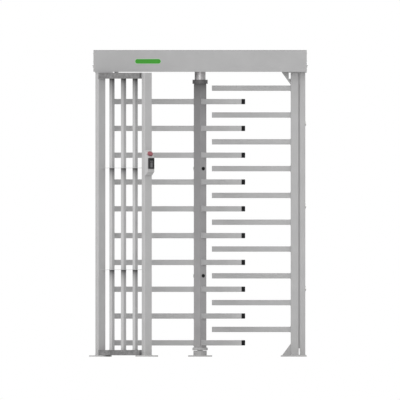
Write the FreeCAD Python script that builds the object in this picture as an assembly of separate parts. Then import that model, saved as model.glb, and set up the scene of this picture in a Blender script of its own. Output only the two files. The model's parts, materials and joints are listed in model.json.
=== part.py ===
import FreeCAD, Part
import math
import os

# Full height turnstile, in millimetres. Z is up, the floor is Z = 0 and the rotor turns about Z.
# People walk through along Y, to the left of the rotor, and the front is towards -Y.

# Whole turnstile
total_height = 2300.0
part_gap = 0.3
running_clearance = 0.05

# Rotor wings
rotor_radius = 650.0
wing_angles = (60.0, 180.0, 300.0)
arm_pitch = 201.0
arm_width = 30.0
arm_height = 40.0
arm_wall = 2.0
arm_corner = 4.0
arm_top_drop = 223.0
lowest_arm_clearance = 70.0
arm_cap_flange = 3.5
arm_cap_plug = 15.0
arm_cap_fit = 0.1

# Rotor column and its ends
column_width = 94.0
column_wall = 5.0
column_foot_height = 70.0
column_top_drop = 93.0
collar_radius = 57.0
collar_height = 31.0
collar_neck_radius = 45.0
collar_neck_height = 3.0
column_plug_radius = 13.5
column_plug_head = 2.0
column_plug_stem_radius = 10.0
foot_flange_radius = 57.5
foot_flange_height = 16.0
foot_cone_height = 5.0
foot_cone_radius = 52.0

# Drive shaft and its bearing
shaft_radius = 41.0
journal_radius = 25.0
shaft_passage_clearance = 4.0
ball_radius = 6.0
ball_count = 12
ball_clearance = 0.1
bearing_ring_wall = 7.0
bearing_width = 20.0
bearing_housing_radius = 70.0
bearing_cover_thickness = 6.0
shaft_shoulder_radius = 29.0
shaft_shoulder_height = 6.0
shoulder_gap = 1.0

# Floor pivot
pivot_plate_side = 180.0
pivot_plate_thickness = 10.0
pivot_plate_hole_spacing = 130.0
pivot_housing_radius = 50.0
pivot_pin_radius = 20.0
pivot_bush_wall = 5.0
pivot_floor_thickness = 4.0
thrust_pad_thickness = 3.0
pivot_housing_gap = 3.0

# Header case
header_height = 164.0
header_depth = 400.0
header_left_overhang = 52.0
header_right_overhang = 11.0
pan_thickness = 3.0
panel_thickness = 2.0
lid_thickness = 3.0
lid_seam = 0.5
lid_lip_drop = 12.0
lid_lip_thickness = 2.0
lid_lip_clearance = 1.5
support_plate_thickness = 6.0
left_support_length = 133.0
left_support_inset = 12.0
left_support_overhang = 40.0
right_support_inset = 1.0
right_support_length = 185.0
right_support_depth = 200.0

# Lid hinges
hinge_count = 3
hinge_end_distance = 200.0
hinge_width = 60.0
hinge_knuckle_radius = 5.0
hinge_pin_radius = 2.5
hinge_leaf_thickness = 2.5
hinge_leaf_height = 30.0
hinge_axis_drop = 6.0
hinge_standoff = 1.0
hinge_side_gap = 0.5

# Direction indicators
indicator_length = 198.0
indicator_height = 40.0
indicator_from_end = 409.0
indicator_centre_drop = 85.0
indicator_rim = 3.0
indicator_rim_proud = 1.5
indicator_lens_proud = 1.0
indicator_board_thickness = 2.0
indicator_lens_depth = 4.0

# Key locks in the header ends
lock_centre_height = 55.0
lock_escutcheon_radius = 24.0
lock_escutcheon_thickness = 3.0
lock_barrel_radius = 11.0
lock_barrel_proud = 7.0
lock_barrel_length = 32.0
lock_cam_length = 34.0
lock_cam_width = 16.0
lock_cam_thickness = 3.0
key_slot_length = 10.0
key_slot_width = 2.5
key_slot_depth = 4.0

# Cage posts, bars and rails
cage_clearance = 98.0
entry_post_offset = 400.0
octagon_half_angle = 22.5
cage_post_width = 60.0
cage_post_wall = 3.0
cage_post_corner = 6.0
post_cap_thickness = 3.0
post_flange_radius = 85.0
post_flange_thickness = 10.0
anchor_circle_radius = 65.0
anchor_hole_radius = 7.0
anchor_count = 3
left_post_hole_angle = 22.5
entry_post_hole_angle = 315.0
bar_width = 30.0
bar_wall = 2.0
bar_corner = 4.0
front_bar_count = 3
side_bar_count = 4
rail_width = 60.0
rail_wall = 3.0
top_rail_height = 45.0
bottom_rail_height = 40.0
stiffener_thickness = 3.0
stiffener_heights = (650.5, 1413.5)

# Comb and its two posts
comb_arm_offset = 100.5
comb_tip_distance = 88.5
comb_post_clearance = 29.5
comb_post_width = 60.0
comb_post_wall = 3.0
comb_post_corner = 6.0
outer_post_gap = 7.5
outer_post_width = 42.0
strip_depth = 40.0
strip_bottom_height = 62.0
strip_top_drop = 95.0
first_bolt_height = 511.0
bolt_pitch = 619.0
bolt_head_radius = 15.0
bolt_head_height = 6.0
bolt_shank_radius = 8.0
bolt_end_proud = 10.0
gusset_thickness = 8.0
top_gusset_width = 65.5
top_gusset_height = 90.0
gusset_notch_width = 14.5
gusset_notch_height = 45.0
bottom_gusset_width = 64.5
bottom_gusset_height = 88.0
comb_plate_left = 75.0
comb_plate_right = 11.0
comb_plate_depth = 180.0
comb_plate_thickness = 10.0
comb_plate_hole_inset = 20.0

# Card reader pedestal
reader_width = 53.0
reader_depth = 64.0
reader_back_depth = 8.0
reader_sideways = -4.0
reader_bottom = 1359.0
reader_back_height = 191.0
reader_slope_drop = 53.0
reader_chin_height = 28.0
reader_chin_depth = 44.0
reader_wall = 2.0
card_reader_width = 48.0
card_reader_height = 81.0
card_reader_thickness = 10.0
card_reader_corner = 4.0
card_reader_bottom = 50.0
button_radius = 21.0
button_height = 9.0
button_rim_width = 3.5
button_rim_height = 3.0
button_down_slope = 8.0
button_stem_radius = 8.0
button_stem_length = 30.0
button_travel = 4.0
contact_block_side = 26.0
contact_block_height = 18.0

# Mechanism in the header
mechanism_half_length = 300.0
mechanism_half_depth = 150.0
mechanism_plate_thickness = 10.0
gear_module = 2.5
gear_teeth = 72
pinion_teeth = 24
gear_thickness = 15.0
gear_backlash = 0.5
tooth_root_depth = 1.25
gear_gap_above_cover = 8.0
pressure_angle = 20.0
flank_steps = 5
damper_radius = 38.0
damper_gap_below_pinion = 4.0
pinion_shaft_radius = 7.0
pinion_shaft_depth = 25.0
disc_radius = 110.0
disc_thickness = 8.0
disc_gap_above_gear = 20.0
notch_count = 12
notch_width = 24.0
notch_depth = 12.0
spacer_wall = 6.0
shaft_nut_radius = 36.0
shaft_nut_height = 15.0
shaft_end_height = 4.0

# Locking pawls and their solenoids
pawl_rest_gap = 2.0
pawl_pivot_reach = 45.0
pawl_pivot_standoff = 18.0
pawl_hub_radius = 14.0
pawl_pin_radius = 6.0
pawl_pin_shoulder = 10.0
pawl_arm_width = 14.0
pawl_nose_width = 12.0
pawl_tail_reach = 35.0
pawl_clip_radius = 9.0
pawl_clip_thickness = 1.5
link_pin_radius = 2.5
link_pin_slack = 0.3
plunger_radius = 9.0
plunger_length = 62.0
plunger_nose = 10.0
plunger_slot_slack = 0.4
pin_slot_stretch = 1.5
plunger_fork_depth = 14.0
plunger_stroke_room = 10.0
solenoid_side = 44.0
solenoid_length = 60.0
solenoid_reach = 24.0
bracket_thickness = 4.0

# Sensor, electronics and cable entry
sensor_radius = 6.0
sensor_length = 50.0
sensor_gap = 3.0
sensor_bracket_width = 30.0
sensor_bracket_thickness = 4.0
board_length = 180.0
board_depth = 140.0
board_thickness = 1.6
board_from_end = 300.0
standoff_radius = 4.0
standoff_height = 12.0
standoff_inset = 8.0
relay_count = 4
relay_pitch = 36.0
relay_width = 20.0
relay_length = 30.0
relay_height = 16.0
supply_length = 200.0
supply_depth = 100.0
supply_height = 50.0
supply_from_end = 320.0
terminal_pitch = 12.0
terminal_count = 8
terminal_length = 40.0
terminal_height = 30.0
terminal_from_end = 120.0
gland_beside_plate = 28.0
gland_y = 80.0
gland_width = 26.0
gland_drop = 24.0
gland_bore_radius = 7.0
gland_nut_height = 8.0
gland_neck_radius = 10.0
gland_neck_proud = 2.0

# Heights and places that follow from the sizes above
header_bottom = total_height - header_height
support_bottom = header_bottom - support_plate_thickness
lid_bottom = total_height - lid_thickness
panel_top = lid_bottom - lid_seam
cage_distance = rotor_radius + cage_clearance
post_half_diagonal = cage_post_width / math.sqrt(2.0)
left_post_y = cage_distance * math.tan(math.radians(octagon_half_angle))
entry_post_y = cage_distance * math.sqrt(2.0) - entry_post_offset
comb_post_left = rotor_radius + comb_post_clearance
comb_post_right = comb_post_left + comb_post_width
outer_post_left = comb_post_right + outer_post_gap
outer_post_right = outer_post_left + outer_post_width
header_left = -cage_distance - header_left_overhang
header_right = outer_post_right + header_right_overhang
column_top = header_bottom - column_top_drop
indicator_x = header_left + indicator_from_end
board_x = header_left + board_from_end
supply_x = header_right - supply_from_end
terminal_x = header_left + terminal_from_end
gland_x = header_left + left_support_inset + left_support_length + gland_beside_plate
arm_top_height = header_bottom - arm_top_drop
arm_reach = arm_top_height - arm_height / 2.0 - lowest_arm_clearance
arm_count = int(arm_reach / arm_pitch) + 1
arm_heights = [arm_top_height - index * arm_pitch for index in range(arm_count)]
comb_heights = [height + comb_arm_offset for height in arm_heights]
plug_heights = (arm_heights[2] - arm_pitch / 2.0, arm_heights[-4] - arm_pitch / 2.0)
column_half = column_width / 2.0
case_floor = header_bottom + pan_thickness
mechanism_top = case_floor + mechanism_plate_thickness
bearing_bottom = mechanism_top + shaft_shoulder_height + shoulder_gap
bearing_top = bearing_bottom + bearing_width
cover_top = bearing_top + bearing_cover_thickness
gear_bottom = cover_top + gear_gap_above_cover
gear_top = gear_bottom + gear_thickness
disc_bottom = gear_top + disc_gap_above_gear
disc_top = disc_bottom + disc_thickness
gear_distance = gear_module * (gear_teeth + pinion_teeth) / 2.0
inner_ring_radius = journal_radius + bearing_ring_wall
outer_ring_inside = inner_ring_radius + 2.0 * ball_radius
outer_ring_radius = outer_ring_inside + bearing_ring_wall


# Basic shapes
def point(x, y, z=0.0):
    return FreeCAD.Vector(x, y, z)


def block(x_low, x_high, y_low, y_high, z_low, z_high):
    """Rectangular block between two corners."""
    return Part.makeBox(x_high - x_low, y_high - y_low, z_high - z_low, point(x_low, y_low, z_low))


def rod(radius, z_low, z_high, x=0.0, y=0.0):
    """Upright cylinder."""
    return Part.makeCylinder(radius, z_high - z_low, point(x, y, z_low))


def ring(outside, inside, z_low, z_high, x=0.0, y=0.0):
    """Upright tube with a round bore."""
    return rod(outside, z_low, z_high, x, y).cut(rod(inside, z_low, z_high, x, y))


def rod_along(direction, radius, length, start):
    """Cylinder that starts at a point and runs along a direction."""
    return Part.makeCylinder(radius, length, start, direction)


def plan_face(corners):
    """Flat face in the XY plane from a list of corner pairs."""
    path = [point(x, y) for x, y in corners]
    return Part.Face(Part.makePolygon(path + path[:1]))


def raised(face, z_low, z_high):
    """Prism between two heights above a plan face."""
    prism = face.extrude(point(0.0, 0.0, z_high - z_low))
    prism.translate(point(0.0, 0.0, z_low))
    return prism


def upright_plate(corners, y_low, y_high):
    """Plate with an outline drawn in the XZ plane."""
    path = [point(x, y_low, z) for x, z in corners]
    return Part.Face(Part.makePolygon(path + path[:1])).extrude(point(0.0, y_high - y_low, 0.0))


def turned(shape, angle, x=0.0, y=0.0):
    """Copy of a shape, turned about an upright line."""
    copy = shape.copy()
    copy.rotate(point(x, y), point(0.0, 0.0, 1.0), angle)
    return copy


def moved(shape, x=0.0, y=0.0, z=0.0):
    """Copy of a shape, moved."""
    copy = shape.copy()
    copy.translate(point(x, y, z))
    return copy


def mirrored_front_to_back(shape):
    return shape.mirror(point(0.0, 0.0), point(0.0, 1.0, 0.0))


def mirrored_left_to_right(shape):
    return shape.mirror(point(0.0, 0.0), point(1.0, 0.0, 0.0))


def joined(shapes):
    """Single solid from overlapping or touching shapes."""
    result = shapes[0]
    for shape in shapes[1:]:
        result = result.fuse(shape)
    return result.removeSplitter()


def without(shape, cutters):
    """Shape with every cutter taken out of it."""
    for cutter in cutters:
        shape = shape.cut(cutter)
    return shape


def rounded_along(shape, direction, radius):
    """Block with its edges along one direction rounded."""
    edges = [edge for edge in shape.Edges if abs(edge.tangentAt(edge.FirstParameter).dot(direction)) > 0.99]
    return shape.makeFillet(radius, edges)


def square_bar(width, corner, turn, x, y, z_low, z_high):
    """Upright square bar with rounded edges, turned about its own axis."""
    half = width / 2.0
    bar = rounded_along(block(x - half, x + half, y - half, y + half, z_low, z_high), point(0, 0, 1), corner)
    return turned(bar, turn, x, y)


def square_tube(width, wall, corner, turn, x, y, z_low, z_high):
    outside = square_bar(width, corner, turn, x, y, z_low, z_high)
    return outside.cut(square_bar(width - 2.0 * wall, corner - wall, turn, x, y, z_low, z_high))


def save(node, shapes):
    """Write every solid of one node to its file."""
    solids = [solid for shape in shapes for solid in shape.Solids]
    Part.makeCompound(solids).exportStep("parts/" + node + ".step")


# Rotor
def wing_arm_tubes(angle):
    """One wing: level tubes that reach out from a face of the column."""
    tube_end = rotor_radius - arm_cap_flange
    tubes = []
    for height in arm_heights:
        tubes.append(turned(arm_tube(column_half, tube_end, height), angle))
    return tubes


def arm_tube(x_low, x_high, height):
    """Rectangular tube along X."""
    outside = arm_section(x_low, x_high, height, 0.0)
    return outside.cut(arm_section(x_low, x_high, height, arm_wall))


def arm_section(x_low, x_high, height, inset):
    """Bar along X with the tube's outline, moved inwards by the inset."""
    half_width = arm_width / 2.0 - inset
    half_height = arm_height / 2.0 - inset
    bar = block(x_low, x_high, -half_width, half_width, height - half_height, height + half_height)
    return rounded_along(bar, point(1, 0), arm_corner - inset)


def arm_cap(end_x, inward, height):
    """Plastic plug with a flange over the tube's end; inward is -1 or 1 along X."""
    plug_end = end_x + inward * (arm_cap_flange + arm_cap_plug)
    flange_end = end_x + inward * arm_cap_flange
    flange = arm_section(min(end_x, flange_end), max(end_x, flange_end), height, 0.0)
    plug = arm_section(min(end_x, plug_end), max(end_x, plug_end), height, arm_wall + arm_cap_fit)
    return joined([flange, plug])


def wing_arm_caps():
    caps = []
    for angle in wing_angles:
        for height in arm_heights:
            caps.append(turned(arm_cap(rotor_radius, -1.0, height), angle))
    return caps


def hexagon_face(across_flats):
    """Hexagon with a side facing +X."""
    reach = across_flats / 2.0 / math.cos(math.radians(30.0))
    corners = []
    for index in range(6):
        turn = math.radians(30.0 + 60.0 * index)
        corners.append((reach * math.cos(turn), reach * math.sin(turn)))
    return plan_face(corners)


def rotor_column():
    """Six-sided tube with a hole for each plug."""
    outside = raised(hexagon_face(column_width), column_foot_height, column_top)
    inside = raised(hexagon_face(column_width - 2.0 * column_wall), column_foot_height, column_top)
    return without(outside, [inside] + column_plug_holes())


def column_plug_holes():
    holes = []
    for angle in wing_angles:
        for height in plug_heights:
            hole = rod_along(point(1, 0), column_plug_stem_radius, column_half, point(0, 0, height))
            holes.append(turned(hole, angle))
    return holes


def column_plugs():
    """Round plugs that close the access holes in the column's wing faces."""
    plugs = []
    for angle in wing_angles:
        for height in plug_heights:
            stem_start = point(column_half - column_wall, 0, height)
            stem = rod_along(point(1, 0), column_plug_stem_radius - arm_cap_fit, column_wall, stem_start)
            head_start = point(column_half, 0, height)
            head = rod_along(point(1, 0), column_plug_radius, column_plug_head, head_start)
            plugs.append(turned(joined([stem, head]), angle))
    return plugs


def top_collar():
    """Round collar on a smaller neck, on top of the column."""
    neck_top = column_top + collar_neck_height
    neck = rod(collar_neck_radius, column_top, neck_top)
    return joined([neck, rod(collar_radius, neck_top, neck_top + collar_height)])


def drive_shaft():
    """Stepped shaft from the collar up through the bearing to the nut."""
    start = column_top + collar_neck_height + collar_height
    shoulder_start = bearing_bottom - shaft_shoulder_height
    top = disc_top + shaft_nut_height + shaft_end_height
    thick = rod(shaft_radius, start, shoulder_start)
    shoulder = rod(shaft_shoulder_radius, shoulder_start, bearing_bottom)
    journal = rod(journal_radius, bearing_bottom, top)
    return joined([thick, shoulder, journal])


def foot_flange():
    """Turned foot under the column, with the pivot pin below it."""
    cone_start = column_foot_height - foot_cone_height
    cone = Part.makeCone(foot_flange_radius, foot_cone_radius, foot_cone_height, point(0, 0, cone_start))
    flange = rod(foot_flange_radius, foot_flange_bottom(), cone_start)
    pin = rod(pivot_pin_radius, thrust_pad_top() + part_gap, foot_flange_bottom())
    return joined([cone, flange, pin])


def foot_flange_bottom():
    return column_foot_height - foot_cone_height - foot_flange_height


def thrust_pad_top():
    return pivot_plate_thickness + pivot_floor_thickness + thrust_pad_thickness


# Floor pivot
def pivot_base_plate():
    half = pivot_plate_side / 2.0
    plate = block(-half, half, -half, half, 0.0, pivot_plate_thickness)
    reach = pivot_plate_hole_spacing / 2.0
    corners = [(-reach, -reach), (reach, -reach), (-reach, reach), (reach, reach)]
    return without(plate, [rod(anchor_hole_radius, 0.0, pivot_plate_thickness, x, y) for x, y in corners])


def pivot_housing():
    """Round cup on the base plate that holds the bush."""
    top = foot_flange_bottom() - pivot_housing_gap
    cup = rod(pivot_housing_radius, pivot_plate_thickness, top)
    return cup.cut(rod(pivot_bush_radius(), pivot_plate_thickness + pivot_floor_thickness, top))


def pivot_bush_radius():
    return pivot_pin_radius + running_clearance + pivot_bush_wall


def pivot_bush():
    floor = pivot_plate_thickness + pivot_floor_thickness
    top = foot_flange_bottom() - pivot_housing_gap
    return ring(pivot_bush_radius(), pivot_pin_radius + running_clearance, floor, top)


def thrust_pad():
    floor = pivot_plate_thickness + pivot_floor_thickness
    return rod(pivot_pin_radius, floor, thrust_pad_top())


# Upper bearing
def upper_bearing_housing():
    """Round housing on the mechanism plate with a seat for the outer ring."""
    seat = rod(outer_ring_radius, bearing_bottom, bearing_top)
    passage = rod(shaft_radius + shaft_passage_clearance, mechanism_top, bearing_bottom)
    return without(rod(bearing_housing_radius, mechanism_top, bearing_top), [seat, passage])


def bearing_cover():
    bore = journal_radius + spacer_wall + pivot_housing_gap
    return ring(bearing_housing_radius, bore, bearing_top, cover_top)


def bearing_outer_ring():
    return ring(outer_ring_radius, outer_ring_inside, bearing_bottom, bearing_top)


def bearing_inner_ring():
    return ring(inner_ring_radius, journal_radius, bearing_bottom, bearing_top)


def bearing_balls():
    middle = (bearing_bottom + bearing_top) / 2.0
    orbit = (inner_ring_radius + outer_ring_inside) / 2.0
    balls = []
    for index in range(ball_count):
        turn = math.radians(360.0 * index / ball_count)
        centre = point(orbit * math.cos(turn), orbit * math.sin(turn), middle)
        balls.append(Part.makeSphere(ball_radius - ball_clearance, centre))
    return balls


# Gears, damper and locking disc
def involute(angle):
    return math.tan(angle) - angle


def gear_face(teeth, first_tooth_angle):
    """Spur gear outline with involute flanks, thinned for backlash."""
    pitch = gear_module * teeth / 2.0
    base = pitch * math.cos(math.radians(pressure_angle))
    root = pitch - tooth_root_depth * gear_module
    tip = pitch + gear_module
    start = max(base, root)
    thickness = math.pi * gear_module / 2.0 - gear_backlash / 2.0
    half_at_base = thickness / 2.0 / pitch + involute(math.radians(pressure_angle))
    flank = [(root, half_at_base)]
    for step in range(flank_steps + 1):
        radius = start + (tip - start) * step / flank_steps
        half = half_at_base - involute(math.acos(base / radius))
        flank.append((radius, half))
    corners = []
    for tooth in range(teeth):
        middle = math.radians(first_tooth_angle + 360.0 * tooth / teeth)
        sides = [(radius, middle - half) for radius, half in flank]
        sides += [(radius, middle + half) for radius, half in reversed(flank)]
        corners += [(radius * math.cos(turn), radius * math.sin(turn)) for radius, turn in sides]
    return plan_face(corners)


def main_gear():
    return raised(gear_face(gear_teeth, 0.0), gear_bottom, gear_top).cut(journal_hole())


def journal_hole():
    return rod(journal_radius, mechanism_top, total_height)


def damper_top():
    return gear_bottom - damper_gap_below_pinion


def damper_body():
    """Closed rotary damper behind the shaft, with a bore for the pinion's shaft."""
    bore = pinion_shaft_radius + running_clearance
    can = rod(damper_radius, mechanism_top, damper_top(), 0.0, gear_distance)
    return can.cut(rod(bore, damper_top() - pinion_shaft_depth, damper_top(), 0.0, gear_distance))


def damper_pinion():
    """Pinion and shaft, with a tooth gap facing the main gear."""
    half_pitch = 180.0 / pinion_teeth
    wheel = raised(gear_face(pinion_teeth, half_pitch), gear_bottom, gear_top)
    stem = rod(pinion_shaft_radius, damper_top() - pinion_shaft_depth + part_gap, gear_bottom)
    return moved(joined([wheel, stem]), 0.0, gear_distance)


def locking_disc():
    """Round disc with evenly spaced square notches for the pawls."""
    disc = rod(disc_radius, disc_bottom, disc_top).cut(journal_hole())
    inner = disc_radius - notch_depth
    half = notch_width / 2.0
    notch = block(inner, disc_radius + notch_depth, -half, half, disc_bottom, disc_top)
    return without(disc, [turned(notch, 360.0 * index / notch_count) for index in range(notch_count)])


def shaft_spacers():
    outside = journal_radius + spacer_wall
    lower = ring(outside, journal_radius, bearing_top, gear_bottom)
    upper = ring(outside, journal_radius, gear_top, disc_bottom)
    return [lower, upper]


def shaft_nut():
    nut = raised(hexagon_face(2.0 * shaft_nut_radius), disc_top, disc_top + shaft_nut_height)
    return nut.cut(journal_hole())


# Locking pawl on the right-hand side; the left-hand one is its mirror image
pawl_x = disc_radius + pawl_pivot_standoff
pawl_y = -pawl_pivot_reach
link_y = pawl_y - pawl_tail_reach
disc_middle = (disc_bottom + disc_top) / 2.0


def right_pawl():
    """Two-armed lever: a nose for the notches and a tail for the plunger."""
    half_arm = pawl_arm_width / 2.0
    half_nose = pawl_nose_width / 2.0
    tail_end = link_y - half_arm
    hub = rod(pawl_hub_radius, disc_bottom, disc_top, pawl_x, pawl_y)
    arm = block(pawl_x - half_arm, pawl_x + half_arm, tail_end, half_nose, disc_bottom, disc_top)
    nose_tip = disc_radius + pawl_rest_gap
    nose = block(nose_tip, pawl_x, -half_nose, half_nose, disc_bottom, disc_top)
    bore = rod(pawl_pin_radius + running_clearance, disc_bottom, disc_top, pawl_x, pawl_y)
    link_hole = rod(link_pin_radius, disc_bottom, disc_top, pawl_x, link_y)
    return without(joined([hub, arm, nose]), [bore, link_hole])


def right_link_pin():
    reach = plunger_radius - part_gap
    return rod(link_pin_radius, disc_middle - reach, disc_middle + reach, pawl_x, link_y)


def right_pawl_pin():
    """Stepped pivot pin that stands on the mechanism plate."""
    shoulder = rod(pawl_pin_shoulder, mechanism_top, disc_bottom - part_gap, pawl_x, pawl_y)
    top = disc_top + part_gap + 2.0 * pawl_clip_thickness
    return joined([shoulder, rod(pawl_pin_radius, disc_bottom - part_gap, top, pawl_x, pawl_y)])


def right_pawl_clip():
    low = disc_top + part_gap
    return ring(pawl_clip_radius, pawl_pin_radius, low, low + pawl_clip_thickness, pawl_x, pawl_y)


def right_plunger():
    """Solenoid plunger whose forked end straddles the pawl's tail."""
    start = pawl_x - plunger_nose
    stem = rod_along(point(1, 0), plunger_radius, plunger_length, point(start, link_y, disc_middle))
    slot = block(start, pawl_x + plunger_fork_depth, link_y - plunger_radius, link_y + plunger_radius,
                 disc_bottom - plunger_slot_slack, disc_top + plunger_slot_slack)
    half = link_pin_radius + link_pin_slack
    reach = pin_slot_stretch * half
    pin_slot = block(pawl_x - half, pawl_x + half, link_y - reach, link_y + reach,
                     disc_middle - plunger_radius, disc_middle + plunger_radius)
    return without(stem, [slot, pin_slot])


def right_solenoid():
    low_x = pawl_x + solenoid_reach
    half = solenoid_side / 2.0
    body = block(low_x, low_x + solenoid_length, link_y - half, link_y + half,
                 disc_middle - half, disc_middle + half)
    depth = pawl_x - plunger_nose + plunger_length - low_x + plunger_stroke_room
    bore_start = point(low_x, link_y, disc_middle)
    return body.cut(rod_along(point(1, 0), plunger_radius + running_clearance, depth, bore_start))


def right_solenoid_bracket():
    """Bracket of I section between the mechanism plate and the solenoid."""
    low_x = pawl_x + solenoid_reach
    high_x = low_x + solenoid_length
    half = solenoid_side / 2.0
    top = disc_middle - half
    seat = block(low_x, high_x, link_y - half, link_y + half, top - bracket_thickness, top)
    foot = moved(seat, 0.0, 0.0, mechanism_top + bracket_thickness - top)
    half_web = bracket_thickness / 2.0
    web = block(low_x, high_x, link_y - half_web, link_y + half_web, mechanism_top, top)
    return joined([seat, foot, web])


def both_sides(shape):
    return [shape, mirrored_left_to_right(shape)]


# Sensor at the disc's front edge
def position_sensor():
    start = point(0.0, -disc_radius - sensor_gap, disc_middle)
    return rod_along(point(0, -1), sensor_radius, sensor_length, start)


def sensor_bracket():
    """Angle bracket that holds the sensor at the disc's height."""
    half = sensor_bracket_width / 2.0
    face_y = -disc_radius - sensor_gap - sensor_length / 2.0
    back_y = face_y - sensor_bracket_thickness
    top = disc_middle + half
    upright = block(-half, half, back_y, face_y, mechanism_top, top)
    foot = block(-half, half, face_y, face_y + half, mechanism_top, mechanism_top + sensor_bracket_thickness)
    hole = rod_along(point(0, -1), sensor_radius, sensor_length, point(0.0, -disc_radius, disc_middle))
    return joined([upright, foot]).cut(hole)


# Mechanism plate and electronics
def mechanism_plate():
    plate = block(-mechanism_half_length, mechanism_half_length, -mechanism_half_depth,
                  mechanism_half_depth, case_floor, mechanism_top)
    return plate.cut(rod(shaft_radius + shaft_passage_clearance, case_floor, mechanism_top))


def board_corner_places():
    reach_x = board_length / 2.0 - standoff_inset
    reach_y = board_depth / 2.0 - standoff_inset
    return [(board_x + side * reach_x, end * reach_y)
            for side in (-1.0, 1.0) for end in (-1.0, 1.0)]


def board_standoffs():
    return [rod(standoff_radius, case_floor, case_floor + standoff_height, x, y)
            for x, y in board_corner_places()]


def control_board():
    low = case_floor + standoff_height
    half = board_depth / 2.0
    left = board_x - board_length / 2.0
    return block(left, left + board_length, -half, half, low, low + board_thickness)


def board_relays():
    """Row of relays on the control board."""
    low = case_floor + standoff_height + board_thickness
    relays = []
    for index in range(relay_count):
        x = board_x + (index - (relay_count - 1) / 2.0) * relay_pitch
        relays.append(block(x - relay_width / 2.0, x + relay_width / 2.0, -relay_length / 2.0,
                            relay_length / 2.0, low, low + relay_height))
    return relays


def power_supply():
    low_x = supply_x - supply_length / 2.0
    half = supply_depth / 2.0
    return block(low_x, low_x + supply_length, -half, half, case_floor, case_floor + supply_height)


def terminal_blocks():
    blocks = []
    for index in range(terminal_count):
        y = (index - (terminal_count - 1) / 2.0) * terminal_pitch
        half = (terminal_pitch - part_gap) / 2.0
        low_x = terminal_x - terminal_length / 2.0
        blocks.append(block(low_x, low_x + terminal_length, y - half, y + half,
                            case_floor, case_floor + terminal_height))
    return blocks


def gland_hexagon():
    return moved(turned(hexagon_face(gland_width), 30.0), gland_x, gland_y)


def cable_gland():
    """Hexagonal gland under the case with a threaded neck through the pan."""
    low = header_bottom - gland_drop
    high = case_floor + gland_nut_height + gland_neck_proud
    head = raised(gland_hexagon(), low, header_bottom)
    neck = rod(gland_neck_radius, header_bottom, high, gland_x, gland_y)
    return joined([head, neck]).cut(rod(gland_bore_radius, low, high, gland_x, gland_y))


def gland_nut():
    nut = raised(gland_hexagon(), case_floor, case_floor + gland_nut_height)
    return nut.cut(rod(gland_neck_radius, case_floor, case_floor + gland_nut_height, gland_x, gland_y))


# Header case
def base_pan():
    """Floor of the case, with holes for the shaft and the cable gland."""
    half = header_depth / 2.0 - panel_thickness
    pan = block(header_left + panel_thickness, header_right - panel_thickness, -half, half,
                header_bottom, case_floor)
    shaft_hole = rod(shaft_radius + shaft_passage_clearance, header_bottom, case_floor)
    gland_hole = rod(gland_neck_radius, header_bottom, case_floor, gland_x, gland_y)
    return without(pan, [shaft_hole, gland_hole])


def pill_plate(inset, y_low, y_high):
    """Plate in the XZ plane with half-round ends, around the indicator's centre."""
    radius = indicator_height / 2.0 - inset
    straight = (indicator_length - indicator_height) / 2.0
    centre_z = total_height - indicator_centre_drop
    middle = block(indicator_x - straight, indicator_x + straight, y_low, y_high,
                   centre_z - radius, centre_z + radius)
    ends = []
    for side in (-1.0, 1.0):
        start = point(indicator_x + side * straight, y_low, centre_z)
        ends.append(rod_along(point(0, 1), radius, y_high - y_low, start))
    return joined([middle] + ends)


def front_panel():
    outside = -header_depth / 2.0
    inside = outside + panel_thickness
    panel = block(header_left, header_right, outside, inside, header_bottom, panel_top)
    return panel.cut(pill_plate(indicator_rim, outside, inside))


def front_indicator_bezel():
    """Thin rim around the indicator's window."""
    face = -header_depth / 2.0
    outside = pill_plate(0.0, face - indicator_rim_proud, face)
    return outside.cut(pill_plate(indicator_rim, face - indicator_rim_proud, face))


def front_indicator_lens():
    face = -header_depth / 2.0
    return pill_plate(indicator_rim, face - indicator_lens_proud, face + indicator_lens_depth)


def front_indicator_board():
    low = -header_depth / 2.0 + indicator_lens_depth
    return pill_plate(2.0 * indicator_rim, low, low + indicator_board_thickness)


def end_panel(outside, inward):
    """End wall of the case with a round hole for the lock's barrel."""
    inside = outside + inward * panel_thickness
    half = header_depth / 2.0 - panel_thickness
    panel = block(min(outside, inside), max(outside, inside), -half, half, header_bottom, panel_top)
    hole = rod_along(point(inward, 0), lock_barrel_radius + running_clearance, panel_thickness,
                     point(outside, 0.0, header_bottom + lock_centre_height))
    return panel.cut(hole)


def header_lid():
    """Flat lid with a lip that drops inside the front and the two ends."""
    half = header_depth / 2.0
    top = block(header_left, header_right, -half, half, lid_bottom, total_height)
    outset = panel_thickness + lid_lip_clearance
    left = header_left + outset
    right = header_right - outset
    front = -half + outset
    lip_bottom = lid_bottom - lid_lip_drop
    front_lip = block(left, right, front, front + lid_lip_thickness, lip_bottom, lid_bottom)
    left_lip = block(left, left + lid_lip_thickness, front, -front, lip_bottom, lid_bottom)
    right_lip = block(right - lid_lip_thickness, right, front, -front, lip_bottom, lid_bottom)
    return joined([top, front_lip, left_lip, right_lip])


# Lid hinges on the rear panel
hinge_y = header_depth / 2.0 + hinge_knuckle_radius + hinge_standoff
hinge_z = total_height - hinge_axis_drop


def hinge_places():
    first = header_left + hinge_end_distance
    step = (header_right - header_left - 2.0 * hinge_end_distance) / (hinge_count - 1)
    return [first + step * index for index in range(hinge_count)]


def knuckle(x_low, x_high, bore):
    start = point(x_low, hinge_y, hinge_z)
    outside = rod_along(point(1, 0), hinge_knuckle_radius, x_high - x_low, start)
    return outside, rod_along(point(1, 0), bore, x_high - x_low, start)


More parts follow.
